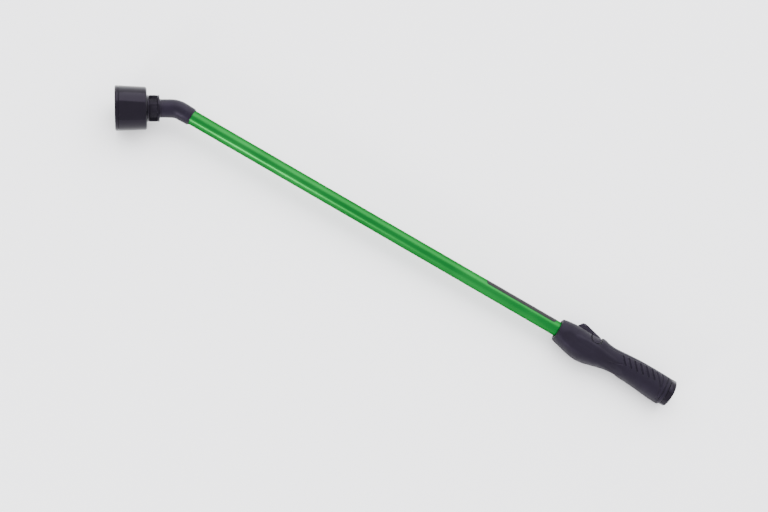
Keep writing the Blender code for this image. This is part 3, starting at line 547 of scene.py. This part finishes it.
# %% [markdown]
# ## The elbow
# The elbow is a moulded bend between two round ends. Sections are turned along an arc and
# joined, outside from the head to the mouth, then back down the inside, so the wall is one
# closed skin. The mouth ends in a thin bead, and the tube disappears into a narrow dark gap.

# %% Elbow sections along the bend
BEND_RADIUS = 24.0
BEND_STEPS = 18
ELBOW_STEPS = 72
ELBOW_RADIUS = 11.7
ELBOW_BORE = 5.3
PLUG_RADIUS = 12.9
PLUG_START = 46.0
MOUTH_BORE = 9.75
SPIGOT_RADIUS = 8.0
SEAL_GROOVE = 6.6
SEAL_STARTS = (3.0, 8.0)
SEAL_WIDTH = 1.8
TANGENT = BEND_RADIUS * math.tan(BEND / 2.0)


def section(place, along, radius):
    return [place @ Vector(point) for point in circle(radius, along, ELBOW_STEPS)]


def bend_place(share):
    """The working frame at a share of the way round the bend, from head to tube."""
    turn = BEND * (1.0 - share)
    direction = Vector((math.cos(turn), math.sin(turn), 0.0))
    centre = Vector((BEND_CORNER + TANGENT, -BEND_RADIUS, 0.0))
    origin = centre + BEND_RADIUS * Vector((-math.sin(turn), math.cos(turn), 0.0))
    return axis_frame(ZERO + MM * origin, direction)


def elbow_sections():
    head_end = FACE_TO_CORNER - TANGENT
    tube_end = BEND_CORNER + TANGENT
    for along, radius in ((PLUG_START, PLUG_RADIUS), (NECK_END - 1.6, PLUG_RADIUS),
                          (NECK_END - 1.6, 12.4), (NECK_END + 0.6, 12.4), (NECK_END + 1.0, 11.5),
                          (head_end, ELBOW_RADIUS)):
        yield section(ON_HEAD, along, radius)
    for step in range(1, BEND_STEPS):
        yield section(bend_place(step / BEND_STEPS), 0.0, ELBOW_RADIUS)
    mouth = [(tube_end, ELBOW_RADIUS), (0.2, 11.2), (0.8, 10.9), (0.9, 10.1), (2.4, 10.1), (2.5, 10.0),
             (2.5, 9.8), (-3.0, MOUTH_BORE), (-12.2, MOUTH_BORE), (-12.2, SPIGOT_RADIUS)]
    seal_grooves = []
    for start in SEAL_STARTS:
        seal_grooves += [(start, SPIGOT_RADIUS), (start, SEAL_GROOVE), (start + SEAL_WIDTH, SEAL_GROOVE),
                         (start + SEAL_WIDTH, SPIGOT_RADIUS)]
    spigot_end = [(13.9, SPIGOT_RADIUS), (13.9, ELBOW_BORE), (tube_end, ELBOW_BORE)]
    for along, radius in mouth + seal_grooves + spigot_end:
        yield section(ON_TUBE, along, radius)
    for step in range(BEND_STEPS - 1, 0, -1):
        yield section(bend_place(step / BEND_STEPS), 0.0, ELBOW_BORE)
    for along in (head_end, PLUG_START):
        yield section(ON_HEAD, along, ELBOW_BORE)


elbow = loft_piece("elbow_moulding", list(elbow_sections()), closed=True)
soften(elbow, 0.15 * MM, 2)  # its sections are already in metres
settle(elbow, Matrix.Identity(4), SATIN_ABS, "wand", "elbow")

# %% [markdown]
# ## Tube and label
# The tube is a turned ring drawn out to its length. The label is a film a fifth of a
# millimetre thick, wrapped over the thumb side: a curved sheet given its thickness by
# Solidify. It is plain, and its corners are rounded as a die cutter leaves them.

# %% Tube
TUBE_WALL = 1.2

tube = turn_piece("drawn_tube", [
    (TUBE_RADIUS, TUBE_END), (TUBE_RADIUS, TUBE_START), (TUBE_RADIUS - TUBE_WALL, TUBE_START),
    (TUBE_RADIUS - TUBE_WALL, TUBE_END)], 128)
settle(tube, ON_TUBE, GREEN_TUBE, "wand", "tube")

# %% Label
LABEL_HALF_WIDTH = TUBE_RADIUS * math.radians(79.0)
LABEL_CORNER = 4.0
LABEL_ROWS = 60
LABEL_COLUMNS = 28
FILM_RADIUS = TUBE_RADIUS + 0.06
FILM_THICKNESS = 0.2

label_start, label_end = ((corner[0] - ZERO.x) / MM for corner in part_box("tube_label"))
points = []
for row in range(LABEL_ROWS + 1):
    place = label_start + (label_end - label_start) * row / LABEL_ROWS
    edge = min(place - label_start, label_end - place)
    inset = LABEL_CORNER - math.sqrt(max(0.0, LABEL_CORNER ** 2 - max(0.0, LABEL_CORNER - edge) ** 2))
    for column in range(LABEL_COLUMNS + 1):
        turn = (LABEL_HALF_WIDTH - inset) * (2.0 * column / LABEL_COLUMNS - 1.0) / TUBE_RADIUS
        points.append((place, FILM_RADIUS * math.cos(turn), FILM_RADIUS * math.sin(turn)))
stride = LABEL_COLUMNS + 1
label = new_piece("label", points, [
    (here, here + 1, here + stride + 1, here + stride)
    for row in range(LABEL_ROWS) for here in range(row * stride, row * stride + LABEL_COLUMNS)])
face_outwards(label)
film = label.modifiers.new("film", "SOLIDIFY")
film.thickness = FILM_THICKNESS
film.offset = 0.0
settle(label, IN_WAND, FILM, "wand", "tube_label")

# %% [markdown]
# ## The soft grip
# The grip is the sculpted piece. A coarse loft gives its side view: the flared mouth, the
# belly under the valve, the hump behind the thumb, the narrow neck and the swelling grip.
# Subdivision rounds it, and then strokes are pressed into it or raised from it, the way a
# toolmaker cuts a mould: each stroke is a path of (place along the tube, angle from the
# thumb side), a half width and a depth in millimetres. Both sides get the same strokes.

# %% Coarse loft of the grip
GRIP_STATIONS = (
    # along, lowest, highest, half width
    (534.0, -14.6, 14.2, 14.2), (541.0, -16.8, 15.4, 15.2), (548.0, -18.6, 16.2, 16.0),
    (556.0, -20.8, 16.6, 16.7), (564.0, -22.4, 16.2, 17.2), (573.0, -23.0, 15.8, 17.4),
    (582.0, -22.0, 16.0, 17.0), (592.0, -19.4, 18.7, 16.2), (600.0, -17.2, 16.6, 15.5),
    (611.0, -15.1, 15.7, 14.8), (624.0, -14.7, 16.6, 14.8), (642.0, -15.2, 17.8, 15.6),
    (661.0, -16.9, 17.9, 16.6), (680.0, -18.7, 17.5, 17.5), (690.0, -18.8, 17.2, 17.6))
MOUTH = 534.0
GRIP_END = 684.0
BAND_END = 689.0
SQUARENESS = 2.3  # power of the section's outline: 2 is an ellipse
GRIP_STEPS = 48
GRIP_WALL = 1.9
SLEEVE_BORE = 11.2
BAND_SEAT = 16.0
HOUSING_STEP = 669.9


def blend(t, here, slope_here, there, slope_there):
    """A smooth cubic from one value to the next, leaving and arriving with the given slopes."""
    return ((2 * t ** 3 - 3 * t ** 2 + 1) * here + (t ** 3 - 2 * t ** 2 + t) * slope_here
            + (3 * t ** 2 - 2 * t ** 3) * there + (t ** 3 - t ** 2) * slope_there)


def grip_size(place):
    """Lowest, highest and half width at a place, on a smooth curve through the stations."""
    stations = np.array(GRIP_STATIONS)
    index = int(np.clip(np.searchsorted(stations[:, 0], place) - 1, 0, len(stations) - 2))
    before, here = stations[max(index - 1, 0)], stations[index]
    there, after = stations[index + 1], stations[min(index + 2, len(stations) - 1)]
    span = there[0] - here[0]
    t = (place - here[0]) / span
    slope_here = (there - before) / (there[0] - before[0]) * span
    slope_there = (after - here) / (after[0] - here[0]) * span
    return blend(t, here, slope_here, there, slope_there)[1:]


def grip_section(place, inset=0.0, steps=GRIP_STEPS):
    low, high, half_width = grip_size(place)
    power = 2.0 / SQUARENESS
    ring = []
    for step in range(steps):
        turn = 2 * math.pi * step / steps
        across, upward = math.cos(turn), math.sin(turn)
        ring.append((place, (low + high) / 2 + ((high - low) / 2 - inset)
                     * math.copysign(abs(across) ** power, across),
                     (half_width - inset) * math.copysign(abs(upward) ** power, upward)))
    return ring


def bore_section(place, radius, steps=GRIP_STEPS):
    return [(place, radius * math.cos(2 * math.pi * i / steps), radius * math.sin(2 * math.pi * i / steps))
            for i in range(steps)]


mouth_rings = [bore_section(MOUTH + 6.0, SLEEVE_BORE), bore_section(MOUTH + 1.0, SLEEVE_BORE),
               bore_section(MOUTH + 0.15, 11.6), grip_section(MOUTH, GRIP_WALL)]
lip_rings = [grip_section(MOUTH + 1.5 * (1 - math.cos(a)), 1.5 * (1 - math.sin(a)))
             for a in np.linspace(0.0, math.pi / 2, 4)]
walls = [grip_section(place) for place in np.arange(MOUTH + 3.4, GRIP_END - 1.5, 2.0)]
end_rings = [grip_section(GRIP_END - 0.5), grip_section(GRIP_END - 0.1, 0.1), grip_section(GRIP_END, 0.6),
             bore_section(GRIP_END, BAND_SEAT), bore_section(HOUSING_STEP + 0.5, BAND_SEAT - 0.1)]
lining = [grip_section(place, GRIP_WALL) for place in np.arange(HOUSING_STEP, MOUTH + 6.0, -7.0)]
grip_rings = mouth_rings + lip_rings + walls + end_rings + lining
grip = loft_piece("soft_grip", grip_rings, closed=True)
smooth = grip.modifiers.new("smoothing", "SUBSURF")
smooth.levels = 2
smooth.render_levels = 2
apply_stack(grip)
print("grip has", len(grip.data.vertices), "points before sculpting")

# %% Sculpt the strokes
SLANT_COUNT = 6
SLANT_START = 620.9
SLANT_END = 660.8
GROOVE_WITH_LIP = 1.2  # grooves deeper than this have a raised lip on both sides
LIP_HEIGHT = 0.2       # of the groove's depth
LIP_DISTANCE = 1.9     # from the groove's line, in half widths
LIP_SPREAD = 0.5
SURFACE_RADIUS = 16.5  # turns an angle into a distance over the surface
strokes = [
    # path of (along, angle), half width, depth
    (((548, 118), (559, 124), (573, 116), (590, 122), (609, 141), (622, 150)), 6.0, 0.9),
    (((560, 100), (580, 99), (596, 102), (612, 108)), 3.6, -0.5),
    (((609, 125), (615, 116), (624, 103)), 0.9, 0.6),
    (((667.5, 55), (673.5, 84), (678.5, 111)), 0.9, 1.0),
    (((675.5, 52), (678.3, 80), (679.6, 108)), 0.9, 0.9),
    (((679.4, 114), (680.6, 138), (681.0, 160)), 0.8, 0.7),
    (((600, 60), (625, 52), (655, 44), (676, 40)), 0.8, 0.3),
]
for number in range(SLANT_COUNT):
    share = number / (SLANT_COUNT - 1)
    start = SLANT_START + share * (SLANT_END - SLANT_START)
    strokes.append((((start, 63 - 9 * share), (start + 2.6, 80 - 8 * share),
                     (start + 7.2, 100 - 7 * share)), 1.0, 1.25))

grip_points = np.empty(3 * len(grip.data.vertices))
grip_normals = np.empty_like(grip_points)
grip.data.vertices.foreach_get("co", grip_points)
grip.data.vertices.foreach_get("normal", grip_normals)
grip_points = grip_points.reshape(-1, 3)
grip_normals = grip_normals.reshape(-1, 3)
outward = grip_normals[:, 1] * grip_points[:, 1] + grip_normals[:, 2] * grip_points[:, 2]
angles = np.arctan2(np.abs(grip_points[:, 2]), grip_points[:, 1])
flat = np.column_stack([grip_points[:, 0], angles * SURFACE_RADIUS])


def distance_to_path(places, path):
    """Distance from each surface point to a path of (along, angle) points."""
    corners = np.array([(x, math.radians(a) * SURFACE_RADIUS) for x, a in path])
    nearest = np.full(len(places), 1e9)
    for first, second in zip(corners, corners[1:]):
        span = second - first
        share = np.clip(((places - first) @ span) / (span @ span), 0.0, 1.0)
        nearest = np.minimum(nearest, np.linalg.norm(places - first - share[:, None] * span, axis=1))
    return nearest


pressed = np.zeros(len(grip_points))
for path, half_width, depth in strokes:
    reach = distance_to_path(flat, path) / half_width
    pressed += depth * np.exp(-(reach ** 4))
    if depth > GROOVE_WITH_LIP:
        pressed -= LIP_HEIGHT * depth * np.exp(-((reach - LIP_DISTANCE) / LIP_SPREAD) ** 2)
pressed[outward < 0.0] = 0.0  # the inner wall stays as it is
grip_points -= grip_normals * pressed[:, None]
grip.data.vertices.foreach_set("co", grip_points.reshape(-1))
grip.data.update()
print("deepest stroke %.2f mm, over %d strokes" % (pressed.max(), len(strokes)))

# %% [markdown]
# The rocker works in a well, and behind it the thumb side is scooped out from side to side.
# Both openings are cut with soft-cornered blocks, and so is the room for the two cheeks
# that hold the pin. The cuts come last, so that the strokes cannot bend their edges.

# %% Well, scoop and cheeks
WELL = (552.3, 589.6, 7.0)  # start, end, half width
SCOOP_START = 573.6
SCOOP_FLOOR = 2.4
SCOOP_CORNER = 6.6
PIVOT = (571.0, 11.0)
CHEEK = (4.8, 9.2)  # half length, half width
ABOVE = 40.0  # well clear of the grip's top
ASIDE = 30.0  # well clear of its flanks


def block(name, low, high, corner, segments=4):
    """A box with rounded edges, between two corners in millimetres."""
    made = loft_piece(name, [[(x, y, z) for y, z in
                              ((low[1], low[2]), (high[1], low[2]), (high[1], high[2]), (low[1], high[2]))]
                             for x in (low[0], high[0])])
    soften(made, corner, segments)
    apply_stack(made)
    return made


cut(grip, block("well", (WELL[0], 9.2, -WELL[2]), (WELL[1], ABOVE, WELL[2]), 1.2))


def u_line(start, end, floor, corner, top):
    """A side view that is open upwards and has round lower corners."""
    return ([(start, top)] + arc(start + corner, floor + corner, corner, 180.0, 270.0, 10)
            + arc(end - corner, floor + corner, corner, 270.0, 360.0, 10) + [(end, top)])


cut(grip, extrude_piece("scoop", u_line(SCOOP_START, WELL[1], SCOOP_FLOOR, SCOOP_CORNER, ABOVE), ASIDE))
cut(grip, block("cheeks", (PIVOT[0] - CHEEK[0], 7.9, -CHEEK[1]), (PIVOT[0] + CHEEK[0], 16.0, CHEEK[1]), 0.6))
face_outwards(grip)
settle(grip, IN_WAND, GRIP_RUBBER, "wand", "grip_sleeve")

# %% [markdown]
# ## The thumb rocker
# Pressing the front of the rocker opens the valve and pressing its rear shuts it. Its rear
# widens into a paddle, whose two wings fill the scoop and follow the grip's own form down
# its flanks. The crown is one smooth line, shared by the body and by the softer pad that
# lies on it. The pad has cross ridges that the thumb feels.

# %% Rocker body
ROCKER_CROWN = ((556.6, 20.2), (558.6, 22.2), (561.2, 23.2), (565.0, 23.0), (570.0, 21.7), (576.0, 20.0),
                (582.0, 18.4), (586.0, 17.4))
PAD_THICKNESS = 1.0
BODY_DROP = PAD_THICKNESS + 0.2
BODY_HALF_WIDTH = 6.6
PADDLE_HALF_WIDTH = 10.2
PIN_HOLE_RADIUS = 1.7
ROCKER_FOOT = [(587.4, 14.8), (587.0, 12.0), (585.0, 10.2), (577.4, 10.0)]


def crown(drop, count=44):
    """The rocker's top line, lowered, through its points on a smooth curve."""
    xs, ys = np.array(ROCKER_CROWN).T
    slopes = np.gradient(ys, xs)
    line = []
    for x in np.linspace(xs[0], xs[-1], count):
        i = int(np.clip(np.searchsorted(xs, x) - 1, 0, len(xs) - 2))
        span = xs[i + 1] - xs[i]
        t = (x - xs[i]) / span
        line.append((x, blend(t, ys[i], slopes[i] * span, ys[i + 1], slopes[i + 1] * span) - drop))
    return line


body_line = ([(554.6, 15.2), (554.6, 17.2)] + crown(BODY_DROP) + ROCKER_FOOT
             + [(574.2, 10.6), (573.0, 9.9), (571.0, 9.4), (569.0, 9.9), (567.8, 10.6), (562.5, 14.4)])
rocker = extrude_piece("rocker_body", body_line, BODY_HALF_WIDTH)
soften(rocker, 0.6, 3, 50.0)
apply_stack(rocker)
paddle_top = [(x, y) for x, y in crown(BODY_DROP + 0.1) if x > 577.0]
paddle_line = [(575.4, 12.2), (575.4, 18.4)] + paddle_top + ROCKER_FOOT
paddle = extrude_piece("rocker_paddle", paddle_line, PADDLE_HALF_WIDTH, 0.45, 12.0)
soften(paddle, 0.9, 4, 50.0)
pin_hole = turn_piece("pin_hole", [(PIN_HOLE_RADIUS, 12.0), (PIN_HOLE_RADIUS, -12.0), (0.001, -12.0),
                                   (0.001, 12.0)], 32)
pin_hole.data.transform(Matrix.Translation((PIVOT[0], PIVOT[1], 0.0)))
cut(rocker, pin_hole)
settle(rocker, IN_WAND, PAD_RUBBER, "thumb_rocker", "thumb_rocker")
settle(paddle, IN_WAND, PAD_RUBBER, "thumb_rocker")

# %% Wings that wrap round the flanks
WING_TOP = 13.0
BRIDGE_LINE = [(575.5, 12.4), (575.5, 15.6), (586.8, 15.6), (586.5, 12.1), (584.8, 10.5), (577.6, 10.3)]


def grip_form(name, inset):
    """The grip's own form round the rocker, made smaller by an inset."""
    return loft_piece(name, [grip_section(place, inset, 96) for place in np.arange(570.0, 593.0, 1.0)])


wings = extrude_piece("rocker_wings", u_line(575.2, 587.5, 3.0, 5.5, WING_TOP), ASIDE)
cut(wings, grip_form("inner_form", 2.0))
cut(wings, extrude_piece("bridge", BRIDGE_LINE, ASIDE + 1.0), "UNION")
cut(wings, grip_form("outer_form", 0.15), "INTERSECT")
soften(wings, 0.5, 4, 40.0)
settle(wings, IN_WAND, PAD_RUBBER, "thumb_rocker")

# %% Ridged pad
RIDGE_PITCH = 1.25
RIDGE_HEIGHT = 0.28
PAD_HALF_WIDTH = 6.0
PAD_CORNER = 0.8
PAD_START, PAD_END = ROCKER_CROWN[0][0], ROCKER_CROWN[-1][0]

pad_rows = []
for x, y in crown(RIDGE_HEIGHT, 200):
    ridge = RIDGE_HEIGHT * (0.5 + 0.5 * math.cos(2 * math.pi * x / RIDGE_PITCH)) ** 0.6
    edge = min(1.0, (x - PAD_START) / PAD_CORNER, (PAD_END - x) / PAD_CORNER)
    side = PAD_HALF_WIDTH - PAD_CORNER * (1.0 - math.sqrt(max(0.0, 1.0 - (1.0 - edge) ** 2)))
    flank = [(y + RIDGE_HEIGHT - PAD_THICKNESS, side), (y - 0.25, side), (y + ridge * 0.4, side - 0.35),
             (y + ridge, side - 0.9)]
    pad_rows.append([(x, height, -across) for height, across in flank]
                    + [(x, height, across) for height, across in reversed(flank)])
pad = loft_piece("rocker_pad_ridged", pad_rows)
settle(pad, IN_WAND, PAD_RUBBER, "thumb_rocker", "rocker_pad")

# %% [markdown]
# ## Hose end
# A narrow band closes the grip. Behind it the coupling turns freely on its spigot: a round
# barrel, with broad ribs for the fingers and a garden hose thread inside it. The thread is a
# helix with a pitch of 2.209 mm, swept along its own line, so light catches its turns.

# %% End band
BAND_START = 684.4
BAND_BORE = 15.3

band_rings = [grip_section(place, inset, 96) for place, inset in (
    (BAND_END, 1.2), (BAND_END - 0.2, 0.5), (BAND_END - 0.6, 0.15), (BAND_START + 0.4, 0.0),
    (BAND_START + 0.1, 0.2), (BAND_START, 0.7))]
band_rings += [bore_section(BAND_START, BAND_BORE, 96), bore_section(BAND_END, BAND_BORE, 96)]
band = loft_piece("end_band", band_rings, closed=True)
settle(band, IN_WAND, GRIP_RUBBER, "wand", "end_cap")

# %% Coupling
BARREL_RADIUS = 14.8
BARREL_START = 678.8
SPIGOT_BORE = 8.4
SOCKET_START = 682.9
COLLAR_START = 689.4
COLLAR_END = 697.4
COLLAR_RADIUS = 17.2

coupling = turn_piece("hose_coupling", [
    (SOCKET_RADIUS, COLLAR_END), (15.6, COLLAR_END), (16.6, COLLAR_END - 0.4),
    (COLLAR_RADIUS, COLLAR_END - 1.2), (COLLAR_RADIUS, COLLAR_START), (BARREL_RADIUS, COLLAR_START),
    (BARREL_RADIUS, BARREL_START + 1.2), (BARREL_RADIUS - 1.2, BARREL_START), (SPIGOT_BORE, BARREL_START),
    (SPIGOT_BORE, SOCKET_START), (SOCKET_RADIUS, SOCKET_START)], 144)
soften(coupling, 0.25)
settle(coupling, ON_TUBE, GLOSS_ABS, "hose_swivel", "hose_swivel")

# %% Finger ribs
COUPLING_RIBS = 5
FIRST_RIB = 98.4
RIB_HALF_ANGLE = 5.5
RIB_FOOT = 15.9
RIB_CROWN = 17.58

for number in range(COUPLING_RIBS):
    middle_angle = FIRST_RIB + 360.0 / COUPLING_RIBS * number
    sweep = np.radians(np.linspace(middle_angle - RIB_HALF_ANGLE, middle_angle + RIB_HALF_ANGLE, 9))
    rows = []
    for place, outer in ((COLLAR_START + 0.02, RIB_CROWN), (COLLAR_END - 1.4, RIB_CROWN),
                         (COLLAR_END - 0.5, 17.1), (COLLAR_END - 0.05, 16.2)):
        rows.append([(place, outer * math.cos(a), outer * math.sin(a)) for a in sweep]
                    + [(place, RIB_FOOT * math.cos(a), RIB_FOOT * math.sin(a)) for a in sweep[::-1]])
    rib = loft_piece("coupling_rib_%d" % (number + 1), rows)
    soften(rib, 0.3)
    settle(rib, IN_WAND, GRIP_RUBBER, "hose_swivel")

# %% Hose thread
THREAD_PITCH = 2.209
THREAD_START = 690.3
THREAD_TURNS = 2.6
THREAD_HEIGHT = 0.75
THREAD_FOOT = 0.75  # half widths of the thread at its root and at its crest
THREAD_CREST = 0.2
THREAD_ROOT = SOCKET_RADIUS + 0.15
TURN_STEPS = 36

thread_rows = []
for step in range(int(TURN_STEPS * THREAD_TURNS) + 1):
    turns = step / TURN_STEPS
    place = THREAD_START + THREAD_PITCH * turns
    runout = min(1.0, 4.0 * turns, 4.0 * (THREAD_TURNS - turns))
    crest = SOCKET_RADIUS - THREAD_HEIGHT * runout - 0.02
    spin = 2 * math.pi * turns
    thread_rows.append([(x, r * math.cos(spin), r * math.sin(spin)) for x, r in (
        (place - THREAD_FOOT, THREAD_ROOT), (place - THREAD_CREST, crest), (place + THREAD_CREST, crest),
        (place + THREAD_FOOT, THREAD_ROOT))])
thread = loft_piece("hose_thread", thread_rows)
settle(thread, IN_WAND, GLOSS_ABS, "hose_swivel")

# %% Washer and inlet screen
WASHER_START, WASHER_END = 686.8, 689.7
WASHER_BORE, WASHER_RADIUS = 7.95, 13.0
SCREEN_PLACE = 688.0
SCREEN_RADIUS = 7.3
MESH_PITCH = 1.05
WIRE = 0.32
HOOP_HALF_DEPTH = 0.3

washer = turn_piece("coupling_washer", [(WASHER_RADIUS, WASHER_END), (WASHER_RADIUS, WASHER_START),
                                        (WASHER_BORE, WASHER_START), (WASHER_BORE, WASHER_END)])
soften(washer, 0.4)
settle(washer, ON_TUBE, NITRILE, "hose_swivel", "hose_washer")

mesh_points = []
mesh_faces = []
numbers = {}
cells = range(-7, 8)
for row in cells:
    for column in cells:
        square = [(row + dx, column + dy) for dx, dy in ((0, 0), (1, 0), (1, 1), (0, 1))]
        if all(math.hypot(*corner) * MESH_PITCH < SCREEN_RADIUS for corner in square):
            for corner in square:
                if corner not in numbers:
                    numbers[corner] = len(mesh_points)
                    mesh_points.append((SCREEN_PLACE, corner[0] * MESH_PITCH, corner[1] * MESH_PITCH))
            mesh_faces.append([numbers[corner] for corner in square])
gauze = new_piece("screen_gauze", mesh_points, mesh_faces)
wires = gauze.modifiers.new("wires", "WIREFRAME")
wires.thickness = WIRE
wires.use_even_offset = False
settle(gauze, IN_WAND, STEEL, "wand", "inlet_screen")
hoop = turn_piece("screen_hoop", [(radius, SCREEN_PLACE + side * HOOP_HALF_DEPTH) for radius, side in
                                  ((7.55, 1), (7.55, -1), (6.5, -1), (6.5, 1))], 64)
soften(hoop, 0.12, 2)
settle(hoop, ON_TUBE, STEEL, "wand")

# %% [markdown]
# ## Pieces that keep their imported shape
# The valve, the seals, the clip and the housing are simple turned shapes already, and sit
# out of sight inside the wand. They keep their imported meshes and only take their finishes.

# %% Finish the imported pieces
packed_finishes = (
    (STEEL, ("diffuser_disc", "tube_grip_ring", "rocker_pin", "swivel_circlip")),
    (BRASS, ("valve_seat",)),
    (NITRILE, ("head_washer", "elbow_o_ring_1", "elbow_o_ring_2", "tube_o_ring_1", "tube_o_ring_2",
               "spool_o_ring_1", "spool_o_ring_2", "seat_seal")),
    (ACETAL, ("handle_core", "tube_bush", "valve_spool")),
)
for finish, names in packed_finishes:
    for name in names:
        node = bpy.data.objects[name]
        for holder in node.material_slots:
            holder.material = finish
print("packed pieces finished:", sum(len(names) for _, names in packed_finishes))

# %% [markdown]
# ## Floor and light
# The wand lies on a pale floor, touching it with the rim of its head and the end of its
# grip. A large soft light stands above the wand's thumb side, a small one at the lower left
# draws the bright line along the tube, and the pale room does the rest, so the shadow is
# short and soft and falls on the belly side.

# %% Floor
HEAD_CONTACT = -83.0
GRIP_CONTACT = 680.0
GRIP_GAP = 10.7  # the wand's frame is level with its head, so the floor tilts to its grip
FLOOR_REACH = 6.0
FLOOR_GAP = 0.0005  # metres, so that no face lies in the floor

floor_tilt = math.atan2(GRIP_GAP, GRIP_CONTACT - HEAD_CONTACT)
floor_mesh = bpy.data.meshes.new("floor")
floor_mesh.from_pydata([(FLOOR_REACH * x, FLOOR_REACH * y, 0.0) for x, y in
                        ((-1, -1), (1, -1), (1, 1), (-1, 1))], [], [(0, 1, 2, 3)])
floor_mesh.transform(Matrix.Translation(Vector((ZERO.x + HEAD_CONTACT * MM, 0.0, -FLOOR_GAP)))
                     @ Matrix.Rotation(-floor_tilt, 4, "Y"))
floor = bpy.data.objects.new("floor", floor_mesh)
bpy.context.collection.objects.link(floor)
paper, paper_shader, paper_place = new_finish("pale floor", Specular_IOR_Level=0.25)
paper_share, paper_rough = grain(paper, paper_place, 120.0, 0.72, 0.80)
dress(paper, paper_shader, ("#fafafa", "#fbfbfb"), paper_share, paper_rough)
floor_mesh.materials.append(paper)
print("floor rises %.2f degrees towards the grip" % math.degrees(floor_tilt))

# %% Lights
centre = ZERO + MM * Vector((300.0, 0.0, 0.0))


def soft_box(name, offset, size, power, colour="#ffffff"):
    """A square light at an offset in metres (right, up and towards the camera), facing the wand."""
    data = bpy.data.lights.new(name, "AREA")
    data.shape = "SQUARE"
    data.size = size
    data.energy = power
    data.color = linear(colour)[:3]
    light = bpy.data.objects.new(name, data)
    place = centre + offset[0] * right + offset[1] * up + offset[2] * towards
    light.location = place
    light.rotation_mode = "QUATERNION"
    light.rotation_quaternion = (place - centre).to_track_quat("Z", "Y")
    bpy.context.collection.objects.link(light)


soft_box("key light", (0.9, 2.2, 1.4), 2.6, 62.0)
soft_box("fill light", (-1.3, -1.2, 1.4), 0.4, 30.0)

# %% The room
# The wall that the thumb side faces is brighter than the ceiling over the wand, with a soft
# edge between them, so a round piece shows a paler band along its upper side.
WALL_EDGE = math.radians(33.0)
CEILING_STRENGTH = 2.5
WALL_STRENGTH = 3.4

wall_side = math.cos(WALL_EDGE) * up - math.sin(WALL_EDGE) * towards
world = bpy.data.worlds.new("room")
world.use_nodes = True
room_place = add_node(world, "ShaderNodeTexCoord")
room_side = add_node(world, "ShaderNodeVectorMath", {"operation": "DOT_PRODUCT"}, {1: wall_side},
                     {0: room_place.outputs["Generated"]})
room_light = add_node(world, "ShaderNodeMapRange", {},
                      {"From Min": -0.05, "From Max": 0.05, "To Min": CEILING_STRENGTH,
                       "To Max": WALL_STRENGTH},
                      {"Value": room_side.outputs["Value"]})
room = world.node_tree.nodes["Background"]
room.inputs["Color"].default_value = linear("#fbfbff")
world.node_tree.links.new(room_light.outputs["Result"], room.inputs["Strength"])
bpy.context.scene.world = world
